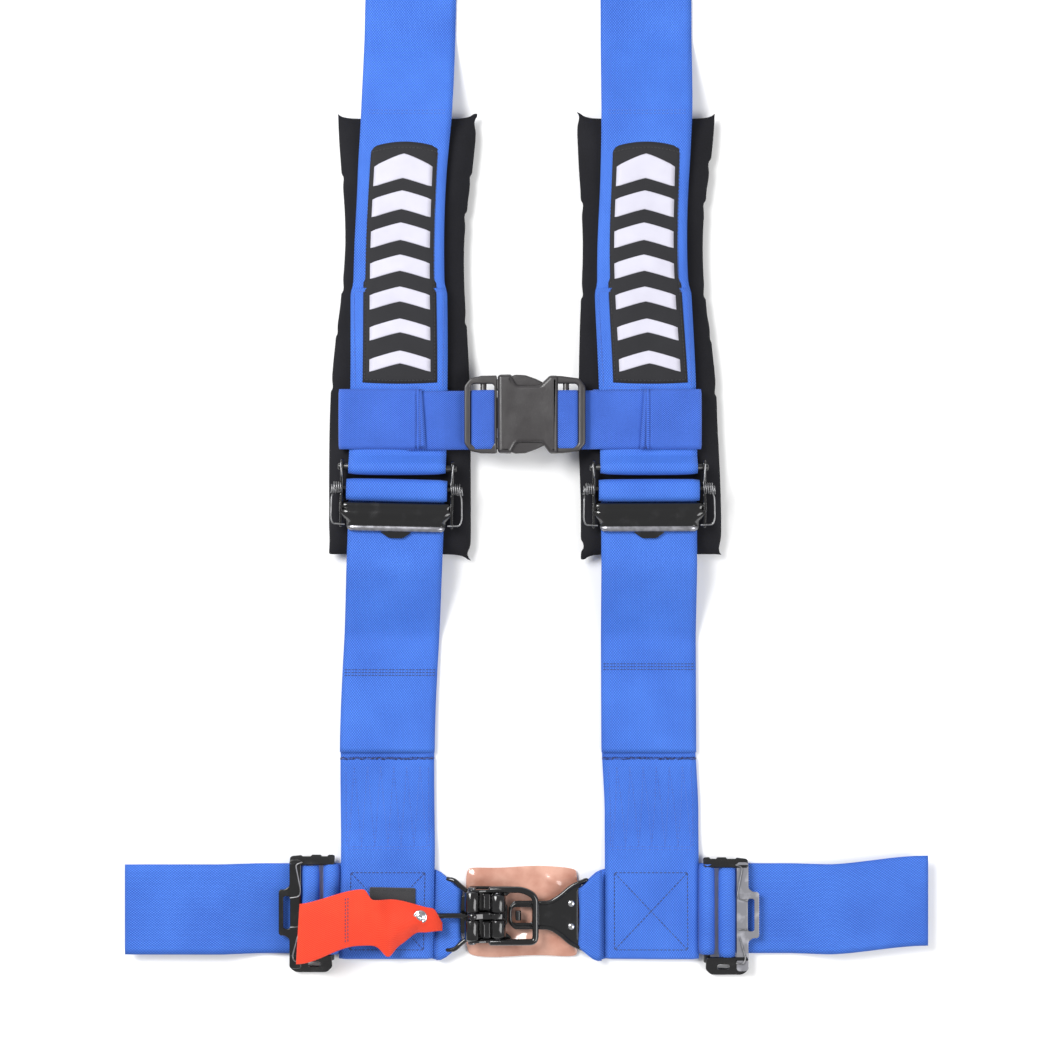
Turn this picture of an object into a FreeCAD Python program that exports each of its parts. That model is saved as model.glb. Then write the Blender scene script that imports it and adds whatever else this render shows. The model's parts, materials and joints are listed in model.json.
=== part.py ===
import FreeCAD, Part
import math
import os

# Four-point racing harness, laid flat and fastened, in millimetres.
# X runs across the lap belts, Y runs up the shoulder belts and Z points up from the table.
# The origin is on the table, under the middle of the whole harness.

from FreeCAD import Placement, Rotation, Vector

doc = FreeCAD.newDocument("racing_harness")

# ---------------------------------------------------------------- driving dimensions

DIMENSIONS = (
    # webbing
    ("webbing_thickness", 1.8, "every strap"),
    ("clearance", 0.3, "air between pieces that move apart"),
    ("lap_width", 76.2, "three inch webbing"),
    ("shoulder_width", 78.0, "three inch webbing, pressed flat"),
    ("sternum_width", 51.0, "two inch webbing"),
    ("throat_width", 44.0, "webbing gathered into a latch slot"),
    ("anchor_throat_width", 56.0, "webbing gathered into a lap bracket"),
    ("bend_radius", 30.0, "easy bend of a strap over the pad's end"),
    ("small_bend", 4.0, "bend of a strap close to a bar"),
    ("knee_radius", 8.0, "bend of a lap strap before the latch"),
    # layout
    ("lap_line_y", -420.0, "middle of the lap belts"),
    ("tail_end_x", 339.6, "free end of each lap tail"),
    ("lap_anchor_x", 268.0, "lap anchor bracket's slot bar"),
    ("left_lap_adjuster_x", -165.8, "fixed bar of the left lap adjuster"),
    ("right_lap_adjuster_x", 153.0, "fixed bar of the right lap adjuster"),
    ("lap_adjuster_drop", 3.0, "lap adjusters sit this far below the lap line"),
    ("left_shoulder_x", -108.0, "left strap at its adjuster"),
    ("right_shoulder_x", 102.8, "right strap at its adjuster"),
    ("left_shoulder_slant", 1.25, "degrees, top end outwards of the foot"),
    ("right_shoulder_slant", -0.2, "degrees"),
    ("shoulder_adjuster_y", 373.0, "above the lap line"),
    ("box_foot_y", -43.0, "folded foot of the shoulder strap, from the lap line"),
    ("overlap_step_y", 48.0, "where the folded strap starts down past the lap belt"),
    ("overlap_step_end_y", 66.0, "where it lies on the strap under it"),
    ("overlap_end_y", 127.0, "raw end of the strap folded up over the lap belt"),
    ("shoulder_tail_end_y", 132.0, "hemmed end of the shoulder tail"),
    ("ramp_foot_y", 226.0, "where the strap leaves the table"),
    ("ramp_head_y", 294.0, "where the strap reaches the pad's height"),
    ("second_layer_end_y", 524.0, "end of the sewn second layer"),
    ("pad_head_ramp_y", 670.0, "where the strap starts down past the pad's head"),
    ("strap_head_ramp_y", 742.0, "where it reaches the table again"),
    ("webbing_slide_y", 800.0, "three-bar slide"),
    ("slide_tail", 24.0, "strap's end past the middle of the three-bar slide"),
    ("shoulder_anchor_y", 844.0, "shoulder bracket's slot bar"),
    # shoulder pads
    ("pad_height", 20.0, "filled pad"),
    ("pad_skin", 1.2, "cover fabric with its lining"),
    ("pad_head_y", 676.0, "from the lap line"),
    ("pad_foot_y", 290.0, "from the lap line"),
    ("pad_half_width", 61.0, "at the corners"),
    ("pad_waist", 8.0, "how far the long sides pull in"),
    ("left_pad_x", -106.5, "middle of the left pad"),
    ("right_pad_x", 101.5, "middle of the right pad"),
    ("deck_z", 22.0, "top of the sternum strap's back layer on the pad"),
    ("patch_width", 62.0, "sewn patch"),
    ("patch_length", 200.0, "sewn patch"),
    ("patch_foot_y", 443.0, "from the lap line"),
    ("patch_thickness", 1.0, "sewn patch"),
    # adjusters
    ("bar_radius", 4.2, "fixed bar and slide bar"),
    ("bar_spacing", 17.5, "fixed bar to slide bar"),
    ("bar_travel", 2.5, "slide bar in its slots"),
    ("bar_pin_radius", 2.0, "slide bar's ends"),
    ("ear_half_span", 41.5, "inside faces of the ears"),
    ("ear_thickness", 2.5, "pressed steel"),
    ("ear_radius", 5.5, "ear's round end, and its height above the bars"),
    ("grip_plate_start", 24.5, "near edge of the grip plate, from the fixed bar"),
    ("lap_plate_depth", 10.0, "grip plate of a lap adjuster"),
    ("shoulder_plate_depth", 21.0, "grip plate of a shoulder adjuster"),
    ("lap_handle_depth", 10.0, "windowed handle"),
    ("lap_handle_width", 40.0, "windowed handle"),
    ("window_depth", 5.0, "finger window"),
    ("window_width", 27.0, "finger window"),
    ("release_lip_depth", 8.0, "shoulder release lip"),
    ("release_lip_width", 26.0, "shoulder release lip"),
    ("lip_thickness", 1.9, "ear's turned-out lip"),
    ("narrow_lip", 5.0, "ear's turned-out lip, short side"),
    ("wide_lip", 12.0, "ear's turned-out lip, long side"),
    ("spring_radius", 3.3, "return spring's coil"),
    ("spring_length", 6.0, "return spring's coil"),
    ("spring_wire", 1.2, "return spring's wire"),
    ("spring_leg", 9.0, "return spring's leg, from the slide bar"),
    ("bar_head_thickness", 0.8, "slide bar's heads"),
    # anchor brackets and slides
    ("plate_thickness", 3.0, "anchor brackets, latch base and link"),
    ("slot_bar_width", 4.0, "bar of an anchor bracket"),
    ("shoulder_bracket_half_width", 46.0, "slotted end"),
    ("lap_bracket_half_width", 36.0, "slotted end, narrower than the belt over it"),
    ("bracket_rail", 5.0, "metal beside the slot"),
    ("bracket_reach", 40.0, "slot bar to bolt hole"),
    ("bracket_eye_radius", 15.0, "metal round the bolt hole"),
    ("bolt_hole_radius", 5.75, "clears a 7/16 inch bolt"),
    ("bracket_z", 4.9, "slot bar's middle"),
    ("slide_length", 38.0, "three-bar slide, along the strap"),
    ("slide_half_width", 46.0, "three-bar slide, across the strap"),
    ("slide_slot", 10.5, "each slot of the three-bar slide"),
    # latch and link
    ("latch_drop", 7.2, "latch's middle line below the lap line"),
    ("base_z", 5.0, "underside of the base plate"),
    ("base_bar_x", -63.5, "webbing bar of the base"),
    ("latch_bar_width", 5.0, "webbing bars of base and link"),
    ("base_half_width", 32.5, "webbing end of the base"),
    ("base_neck_x", -41.5, "middle of the curve between the slotted end and the waist"),
    ("base_shoulder_x", -36.0, "where the waist ends"),
    ("base_tongue_x", -26.0, "middle of the curve from the waist to the tongue"),
    ("base_end_x", -3.0, "tongue's end"),
    ("base_tongue_half_width", 9.0, "tongue under the link"),
    ("base_waist", 21.5, "half width under the knuckles"),
    ("pivot_x", -24.2, "lever's pivot on the base"),
    ("pivot_z", 15.0, "lever's pivot on the base"),
    ("bail_pivot_x", -45.9, "bail's pivot on the lever"),
    ("bail_pivot_z", 16.0, "bail's pivot on the lever"),
    ("pin_radius", 3.5, "both latch pins"),
    ("pin_clearance", 0.05, "running clearance round the latch pins"),
    ("base_knuckle_radius", 7.4, "rolled barrels round the pivot"),
    ("base_knuckle_end", 18.3, "outer ends of the base barrels"),
    ("bail_knuckle_radius", 6.9, "rolled barrels of the bail"),
    ("bail_half_width", 23.0, "outer faces of the bail"),
    ("bail_arm_width", 3.6, "bail's side arms"),
    ("bail_bar_x", 7.6, "bail's hold-down bar"),
    ("bail_bar_radius", 2.7, "bail's hold-down bar"),
    ("bail_bar_gap", 0.5, "hold-down bar above the link"),
    ("bail_arm_height", 6.0, "bail's side arms"),
    ("lever_width", 4.4, "centre lever, between the barrels"),
    ("lever_eye_radius", 6.3, "lever's eyes"),
    ("lever_foot", 4.0, "lever's web, below the pivot"),
    ("lever_head", 5.0, "lever's web, above the pivot"),
    ("lever_rod_radius", 1.5, "rod into the pull tab"),
    ("lever_rod_end_x", -86.0, "rod's end in the pull tab"),
    ("link_z", 8.6, "underside of the link"),
    ("link_tip_x", -15.6, "link's eye end"),
    ("link_eye_half_width", 12.0, "link's eye end"),
    ("link_bar_x", 50.0, "webbing bar of the link"),
    ("link_half_width", 31.8, "webbing end of the link"),
    ("link_neck_x", 18.0, "middle of the curve between the eye and the slotted end"),
    ("link_eye_rim", 2.6, "metal round the eye"),
    ("link_eye_end_x", 4.7, "eye's far end"),
    ("link_eye_slot", 5.5, "eye's half width"),
    ("link_rivet_setback", 12.2, "rivet heads, from the slot bar"),
    ("link_rivet_radius", 2.6, "rivet heads on the link"),
    ("link_rivet_y", 9.8, "rivet heads, from the latch's middle line"),
    ("hook_gap", 4.4, "from the link's tip to the hook"),
    ("hook_length", 5.0, "hook that stands in the link's eye"),
    ("hook_width", 9.0, "hook that stands in the link's eye"),
    ("hook_height", 6.5, "hook above the base"),
    ("latch_pad_x", -51.0, "left edge of the pad under the latch"),
    ("latch_pad_length", 95.0, "pad under the latch"),
    ("latch_pad_width", 76.0, "pad under the latch"),
    ("latch_pad_height", 4.2, "pad under the latch"),
    ("latch_pad_drop", 3.4, "pad's middle below the lap line"),
    # pull tab
    ("tab_width", 50.0, "pull tab's folded end"),
    ("tab_thickness", 1.6, "pull tab webbing"),
    ("tab_rivet_x", -89.7, "rivet through the pull tab"),
    ("tab_tip_x", -191.0, "fold at the pull tab's end"),
    ("tab_tip_z", 34.0, "fold at the pull tab's end"),
    ("tab_bend_x", -112.0, "where the pull tab turns up from the lap strap"),
    ("tab_root_x", -83.0, "pull tab's end on the rod"),
    ("tab_drop", 15.0, "pull tab's middle below the lap line"),
    ("rivet_head_radius", 4.0, "rivet through the pull tab"),
    ("rivet_head_height", 1.2, "rivet heads of the pull tab and the link"),
    ("fastener_left_x", -133.0, "hook-and-loop patch under the tab"),
    ("fastener_right_x", -94.0, "hook-and-loop patch under the tab"),
    ("fastener_foot_y", -16.0, "from the lap line"),
    ("fastener_head_y", 18.0, "from the lap line"),
    ("fastener_thickness", 1.6, "hook-and-loop patch"),
    # sternum straps, as distances from the middle plane, and their buckle
    ("left_fold_x", 153.0, "fold round the left shoulder strap"),
    ("left_knee_x", 67.5, "where the strap starts down to the buckle"),
    ("left_frame_x", 54.0, "where it passes under the buckle's end bar"),
    ("right_fold_x", 143.0, "fold round the right shoulder strap"),
    ("right_knee_x", 60.0, "where the strap starts down to the buckle"),
    ("right_frame_x", 52.0, "where it passes under the buckle's end bar"),
    ("buckle_y", 415.0, "from the lap line"),
    ("sternum_y", 414.5, "from the lap line"),
    ("buckle_z", 27.0, "middle of the sternum buckle"),
    ("buckle_half_height", 6.0, "socket's shell"),
    ("buckle_wall", 2.0, "socket's shell"),
    ("socket_mouth_x", -24.2, "open end of the socket"),
    ("socket_end_x", 24.0, "closed end of the socket"),
    ("socket_half_width", 33.0, "socket's shell"),
    ("frame_rail_inner", 27.5, "webbing frames of the buckle"),
    ("frame_rail_outer", 32.0, "webbing frames of the buckle"),
    ("frame_half_height", 4.0, "webbing frames of the buckle"),
    ("socket_roll_x", 33.2, "roll bar of the socket"),
    ("plug_roll_x", -36.1, "roll bar of the plug"),
    ("roll_bar_radius", 2.5, "roll bars of the buckle"),
    ("socket_frame_end_x", 49.7, "end bar of the socket"),
    ("plug_frame_end_x", -52.3, "end bar of the plug"),
    ("end_bar_width", 5.0, "end bars of the buckle"),
    ("window_left_x", -13.0, "side windows of the socket"),
    ("window_right_x", 17.0, "side windows of the socket"),
    ("prong_arm_y", 22.0, "prong's arm, from the buckle's middle"),
    ("prong_arm_end_x", -6.0, "where the arm runs into its button"),
    ("prong_button_y", 28.6, "prong's button, from the buckle's middle"),
    ("prong_button_left_x", -12.0, "prong's button"),
    ("prong_button_right_x", 16.0, "prong's button"),
    ("prong_button_half_width", 6.8, "prong's button"),
    ("plug_face_depth", 3.0, "plug's face against the socket"),
    ("plug_tongue_end_x", 12.0, "guide between the prongs"),
)

sheet = doc.addObject("Spreadsheet::Sheet", "dims")
for row, (alias, value, note) in enumerate(DIMENSIONS, start=1):
    sheet.set("A%d" % row, alias)
    sheet.set("B%d" % row, str(value))
    sheet.set("C%d" % row, note)
    sheet.setAlias("B%d" % row, alias)
doc.recompute()


def size(alias):
    """The value of one cell of the sheet."""
    return float(sheet.get(alias))


# ---------------------------------------------------------------- making things

kept = []


def keep(item, label):
    """Name a finished sub-part, which is then written to its own file."""
    item.Label = label
    kept.append(item)
    return item


def bind(item, **expressions):
    """Tie properties to expressions on the sheet."""
    for name, text in expressions.items():
        item.setExpression(name, str(text))
    return item


def place(item, at_x="0", at_y="0", at_z="0", turn="0"):
    """Set a piece down at a point, turned about the vertical."""
    item.Placement = Placement(Vector(0, 0, 0), Rotation(Vector(0, 0, 1), 10))
    item.setExpression(".Placement.Base.x", str(at_x))
    item.setExpression(".Placement.Base.y", str(at_y))
    item.setExpression(".Placement.Base.z", str(at_z))
    item.setExpression(".Placement.Rotation.Angle", str(turn))
    return item


def box(span_x, span_y, span_z):
    """A block between two expressions on each axis."""
    item = doc.addObject("Part::Box", "block")
    bind(item, Length="(%s) - (%s)" % (span_x[1], span_x[0]))
    bind(item, Width="(%s) - (%s)" % (span_y[1], span_y[0]))
    bind(item, Height="(%s) - (%s)" % (span_z[1], span_z[0]))
    item.setExpression(".Placement.Base.x", str(span_x[0]))
    item.setExpression(".Placement.Base.y", str(span_y[0]))
    item.setExpression(".Placement.Base.z", str(span_z[0]))
    return item


AXIS_TURNS = {
    "X": Rotation(Vector(0, 1, 0), 90),
    "Y": Rotation(Vector(1, 0, 0), -90),
    "Z": Rotation(),
}


def rod(radius, axis, span, at):
    """A round bar along one axis; at gives its other two coordinates in X, Y, Z order."""
    item = doc.addObject("Part::Cylinder", "rod")
    item.Placement = Placement(Vector(0, 0, 0), AXIS_TURNS[axis])
    bind(item, Radius=radius, Height="(%s) - (%s)" % (span[1], span[0]))
    start = list(at)
    start.insert("XYZ".index(axis), span[0])
    for name, text in zip("xyz", start):
        item.setExpression(".Placement.Base." + name, str(text))
    return item


def fuse(*items):
    joined = doc.addObject("Part::MultiFuse", "joined")
    joined.Shapes = list(items)
    joined.Refine = True
    return joined


def cut(base, *tools):
    for tool in tools:
        result = doc.addObject("Part::Cut", "pierced")
        result.Base = base
        result.Tool = tool
        base = result
    return base


def tube(outer, inner, axis, span, at):
    return cut(rod(outer, axis, span, at), rod(inner, axis, span, at))


# ---------------------------------------------------------------- outlines round discs
#
# A path or an outline is a string pulled past a row of discs. Each disc is (x, y, radius),
# with a positive radius where the string turns left round it, and 0 where it starts or ends.


def heading_between(first, last):
    run_x = last[0] - first[0]
    run_y = last[1] - first[1]
    lean = math.asin((last[2] - first[2]) / math.hypot(run_x, run_y))
    return math.atan2(run_y, run_x) - lean


def touch(disc, heading):
    """Where the string touches a disc while it runs along a heading."""
    x, y, radius = disc
    return Vector(x + radius * math.sin(heading), y - radius * math.cos(heading), 0)


def turn_round(disc, arrive, leave):
    """The arc of the string round one disc, or None where it hardly turns."""
    if disc[2] > 0:
        sweep = (leave - arrive) % (2 * math.pi)
    else:
        sweep = -((arrive - leave) % (2 * math.pi))
    if min(abs(sweep), 2 * math.pi - abs(sweep)) < 1e-6:
        return None
    middle = touch(disc, arrive + sweep / 2)
    return Part.Arc(touch(disc, arrive), middle, touch(disc, leave))


def closed_outline(discs):
    """The belt round a ring of discs, listed counter-clockwise."""
    after = discs[1:] + discs[:1]
    headings = [heading_between(disc, other) for disc, other in zip(discs, after)]
    edges = []
    for index, disc in enumerate(discs):
        arc = turn_round(disc, headings[index - 1], headings[index])
        if arc:
            edges.append(arc)
        edges.append(Part.LineSegment(touch(disc, headings[index]), touch(after[index], headings[index])))
    return edges


def band_outline(discs, thickness):
    """The outline of a band of even thickness whose middle line is pulled past the discs."""
    headings = [heading_between(disc, other) for disc, other in zip(discs, discs[1:])]
    half = thickness / 2
    edges = []
    for side in (-half, half):
        shifted = [(x, y, radius + side) for x, y, radius in discs]
        for index, heading in enumerate(headings):
            start, end = touch(shifted[index], heading), touch(shifted[index + 1], heading)
            edges.append(Part.LineSegment(start, end))
            if index + 1 < len(headings):
                arc = turn_round(shifted[index + 1], heading, headings[index + 1])
                if arc:
                    edges.append(arc)
    for end, heading in ((0, headings[0]), (-1, headings[-1])):
        x, y, radius = discs[end]
        edges.append(Part.LineSegment(touch((x, y, -half), heading), touch((x, y, half), heading)))
    return edges


def mirrored(discs):
    """The same path on the other side of the middle plane."""
    return [(-x, y, -radius) for x, y, radius in discs]


def rounded_slot(x_low, x_high, half_width, corner=1.0):
    """Discs of a slot between two X values, half_width each way in Y."""
    return [(x_low + corner, corner - half_width, corner), (x_high - corner, corner - half_width, corner),
            (x_high - corner, half_width - corner, corner), (x_low + corner, half_width - corner, corner)]


def sketch_on(body, plane, edges, name="outline"):
    sketch = body.newObject("Sketcher::SketchObject", name)
    origin_plane = [item for item in body.Origin.OriginFeatures if item.Role == plane][0]
    sketch.AttachmentSupport = [(origin_plane, "")]
    sketch.MapMode = "FlatFace"
    sketch.addGeometry(edges, False)
    return sketch


def padded_body(plane, edges, length, symmetric=True):
    """A PartDesign body: one sketch on an origin plane, padded by an expression."""
    body = doc.addObject("PartDesign::Body", "body")
    sketch = sketch_on(body, plane, edges)
    pad = body.newObject("PartDesign::Pad", "pad")
    pad.Profile = sketch
    pad.setExpression("Length", str(length))
    pad.SideType = "Symmetric" if symmetric else "One side"
    sketch.Visibility = False
    return body


def webbing(label, plane, discs, width, at_x="0", at_y="dims.lap_line_y", turn="0"):
    """One strap: its side view is a band, padded by the strap's width."""
    body = padded_body(plane, band_outline(discs, size("webbing_thickness")), width)
    place(body, at_x=at_x, at_y=at_y, turn=turn)
    return keep(body, label)


def narrow_throat(body, start_x, end_x, side, throat_width, drop):
    """Trim both edges of a lap strap so that it gathers into a slot that sits drop below its middle."""
    past_edge = size("lap_width") / 2 + 1
    far_x = end_x + side * 20
    for edge in (1, -1):
        throat = edge * throat_width / 2 - drop
        corners = [(start_x, edge * past_edge), (end_x, throat), (far_x, throat), (far_x, edge * past_edge)]
        points = [Vector(x, y, 0) for x, y in corners]
        sides = [Part.LineSegment(first, last) for first, last in zip(points, points[1:] + points[:1])]
        pocket_sketch = sketch_on(body, "XY_Plane", sides, "throat")
        pocket = body.newObject("PartDesign::Pocket", "throat_cut")
        pocket.Profile = pocket_sketch
        pocket.Type = "ThroughAll"
        pocket.SideType = "Symmetric"
        pocket_sketch.Visibility = False


# ---------------------------------------------------------------- heights shared by the straps

gap = size("clearance")
thick = size("webbing_thickness")
floor_layer = gap + thick / 2                    # middle of a strap lying on the table
second_layer = floor_layer + thick + gap         # middle of a strap lying on that one
third_layer = second_layer + thick + gap
deck_layer = size("deck_z") + gap + thick / 2    # middle of a shoulder strap on the pad
deck_second = deck_layer + thick + gap
bar_loop = size("bar_radius") + gap + thick / 2  # middle line of webbing round a round bar
bar_height = floor_layer + bar_loop              # bar's middle above what the webbing lies on
flat_corner = math.hypot(size("latch_bar_width"), size("plate_thickness")) / 2
latch_loop = flat_corner + gap + thick / 2       # middle line of webbing round a latch bar
bracket_corner = math.hypot(size("slot_bar_width"), size("plate_thickness")) / 2
bracket_loop = bracket_corner + gap + thick / 2
bend = size("bend_radius")
small_bend = size("small_bend")

LATCH_Y = "dims.lap_line_y - dims.latch_drop"


# ---------------------------------------------------------------- lap belts


def inner_lap_strap(label, adjuster_x, latch_bar_x, latch_bar_z, box_edge_x, side):
    """Short strap between a lap adjuster and the latch, with a sewn loop round each bar."""
    reach = abs(adjuster_x)
    latch_reach = abs(latch_bar_x)
    rise = latch_bar_z - latch_loop - second_layer
    knee_x = abs(box_edge_x) - thick - gap
    knee_turn = math.copysign(size("knee_radius"), rise)
    loop_end_x = reach - bar_loop - thick / 2 - gap
    step_down_x = reach - bar_loop - small_bend
    discs = [
        (-loop_end_x, bar_height - thick / 2, 0),
        (-reach, bar_height, bar_loop),
        (-step_down_x, second_layer - small_bend, -small_bend),
        (-knee_x, second_layer + knee_turn, knee_turn),
        (-latch_reach, latch_bar_z, latch_loop),
        (thick / 2 - knee_x, max(latch_bar_z - thick / 2, third_layer) + gap, 0),
    ]
    if side > 0:
        discs = mirrored(discs)
    body = webbing(label, "XZ_Plane", discs, "dims.lap_width")
    gather_end = latch_reach + latch_loop + thick / 2
    gather_start = gather_end + size("knee_radius")
    narrow_throat(body, side * gather_start, side * gather_end, -side,
                  size("throat_width"), size("latch_drop"))


def outer_lap_straps(name, adjuster_x, side):
    """Strap from the adjuster to the anchor bracket, and the pull tail that lies over it."""
    start = abs(adjuster_x) + size("grip_plate_start") + gap
    anchor = size("lap_anchor_x")
    loop_length = 12.0
    climb_length = 46.0
    main = [
        (start, floor_layer, 0),
        (anchor - loop_length - thick, floor_layer + bend, bend),
        (anchor, size("bracket_z"), bracket_loop),
        (anchor - loop_length, size("bracket_z") + thick / 2, 0),
    ]
    tail_top = size("bracket_z") + bracket_loop + 2 * thick
    tail = [
        (start, second_layer, 0),
        (anchor - climb_length, second_layer + bend, bend),
        (anchor - size("small_bend"), tail_top - bend, -bend),
        (size("tail_end_x"), tail_top, 0),
    ]
    if side < 0:
        main = mirrored(main)
        tail = mirrored(tail)
    body = webbing(name + "_outer_lap_strap", "XZ_Plane", main, "dims.lap_width")
    gather_end = anchor - loop_length
    gather_start = gather_end - loop_length
    narrow_throat(body, side * gather_start, side * gather_end, side, size("anchor_throat_width"), 0)
    webbing(name + "_lap_tail", "XZ_Plane", tail, "dims.lap_width")


LEFT_BOX_EDGE_X = -79.0
RIGHT_BOX_EDGE_X = 66.0
inner_lap_strap("left_inner_lap_strap", size("left_lap_adjuster_x"), size("base_bar_x"),
                size("base_z") + size("plate_thickness") / 2, LEFT_BOX_EDGE_X, -1)
inner_lap_strap("right_inner_lap_strap", size("right_lap_adjuster_x"), size("link_bar_x"),
                size("link_z") + size("plate_thickness") / 2, RIGHT_BOX_EDGE_X, 1)
outer_lap_straps("left", size("left_lap_adjuster_x"), -1)
outer_lap_straps("right", size("right_lap_adjuster_x"), 1)


# ---------------------------------------------------------------- shoulder belts


def foot_x(strap_x, slant):
    """X of a slanted strap's middle line where it crosses the lap line."""
    return "%s - dims.shoulder_adjuster_y * tan(%s * 1 deg)" % (strap_x, slant)


def shoulder_straps(name, strap_x, slant):
    """Upper strap, lower strap and tail of one side, drawn from the lap line upwards."""
    adjuster = size("shoulder_adjuster_y")
    start = adjuster - size("grip_plate_start") - gap
    fold = (third_layer - floor_layer) / 2
    step_bend = 10.0
    lower = [
        (start, deck_layer, 0),
        (size("ramp_head_y"), deck_layer - bend, bend),
        (size("ramp_foot_y"), floor_layer + bend, -bend),
        (size("box_foot_y") + fold + thick / 2, floor_layer + fold, -fold),
        (size("overlap_step_y"), third_layer - step_bend, -step_bend),
        (size("overlap_step_end_y"), second_layer + step_bend, step_bend),
        (size("overlap_end_y"), second_layer, 0),
    ]
    tail = [
        (start, deck_second, 0),
        (size("ramp_head_y"), deck_layer - bend, bend + thick + gap),
        (size("ramp_foot_y"), floor_layer + bend, thick + gap - bend),
        (size("shoulder_tail_end_y"), second_layer, 0),
    ]
    slide = size("webbing_slide_y")
    slide_loop = 5.5
    slide_step = 15.0
    slide_bar_z = second_layer + thick / 2 + gap + size("plate_thickness") / 2
    anchor = size("shoulder_anchor_y")
    upper = [
        (size("second_layer_end_y"), deck_second, 0),
        (adjuster + 2 * bar_loop, deck_second + small_bend, -small_bend),
        (adjuster, size("deck_z") + bar_height, bar_loop),
        (size("pad_head_ramp_y"), deck_layer - bend, -bend),
        (size("strap_head_ramp_y"), floor_layer + bend, bend),
        (anchor - slide_step, floor_layer + bend, bend),
        (anchor, size("bracket_z"), bracket_loop),
        (anchor - 3 * small_bend, second_layer + 2 * small_bend, -2 * small_bend),
        (slide + slide_step, second_layer + small_bend, -small_bend),
        (slide, slide_bar_z, slide_loop),
        (slide - slide_step, second_layer + small_bend, -small_bend),
        (slide - size("slide_tail"), second_layer, 0),
    ]
    pieces = {"lower_shoulder_strap": lower, "shoulder_tail": tail, "upper_shoulder_strap": upper}
    for label, discs in pieces.items():
        webbing(name + "_" + label, "YZ_Plane", discs, "dims.shoulder_width",
                at_x=foot_x(strap_x, slant), turn="-(%s)" % slant)


SIDES = (
    ("left", "dims.left_shoulder_x", "dims.left_shoulder_slant", "dims.left_pad_x"),
    ("right", "dims.right_shoulder_x", "dims.right_shoulder_slant", "dims.right_pad_x"),
)

for side_name, strap_x, slant, pad_x in SIDES:
    shoulder_straps(side_name, strap_x, slant)


def strap_point(strap_x, slant, height):
    """Expressions for the X and Y of a point on a slanted strap, so far above the lap line."""
    at_x = "%s + (%s - dims.shoulder_adjuster_y) * tan(%s * 1 deg)" % (strap_x, height, slant)
    return at_x, "dims.lap_line_y + %s" % height


# ---------------------------------------------------------------- shoulder pads and patches


def pad_outline(inset):
    """A long rectangle whose sides pull in between its corners."""
    half_width = size("pad_half_width") - inset
    half_length = (size("pad_head_y") - size("pad_foot_y")) / 2 - inset
    waist = half_width - size("pad_waist")
    corners = [Vector(-half_width, -half_length, 0), Vector(half_width, -half_length, 0),
               Vector(half_width, half_length, 0), Vector(-half_width, half_length, 0)]
    return [
        Part.LineSegment(corners[0], corners[1]),
        Part.Arc(corners[1], Vector(waist, 0, 0), corners[2]),
        Part.LineSegment(corners[2], corners[3]),
        Part.Arc(corners[3], Vector(-waist, 0, 0), corners[0]),
    ]


def pad_solid(inset, pad_x):
    """The pad's form, or the filling inside its skin."""
    skin = size("pad_skin") if inset else 0
    body = padded_body("XY_Plane", pad_outline(skin), "dims.pad_height - 2 * %s" % skin, symmetric=False)
    middle_y = "dims.lap_line_y + (dims.pad_head_y + dims.pad_foot_y) / 2"
    return place(body, at_x=pad_x, at_y=middle_y, at_z=skin)


for side_name, strap_x, slant, pad_x in SIDES:
    keep(cut(pad_solid(False, pad_x), pad_solid(True, pad_x)), side_name + "_pad_cover")
    keep(pad_solid(True, pad_x), side_name + "_pad_filling")
    patch_x, patch_y = strap_point(strap_x, slant, "dims.patch_foot_y")
    corner = 4.0
    patch_half = size("patch_width") / 2 - corner
    patch_outline = closed_outline([(-patch_half, corner, corner), (patch_half, corner, corner),
                                    (patch_half, size("patch_length") - corner, corner),
                                    (-patch_half, size("patch_length") - corner, corner)])
    patch = padded_body("XY_Plane", patch_outline, "dims.patch_thickness", symmetric=False)
    patch_z = "dims.deck_z + 2 * (dims.clearance + dims.webbing_thickness) + dims.clearance / 3"
    keep(place(patch, at_x=patch_x, at_y=patch_y, at_z=patch_z, turn="-(%s)" % slant), side_name + "_patch")


# ---------------------------------------------------------------- adjusters


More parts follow.
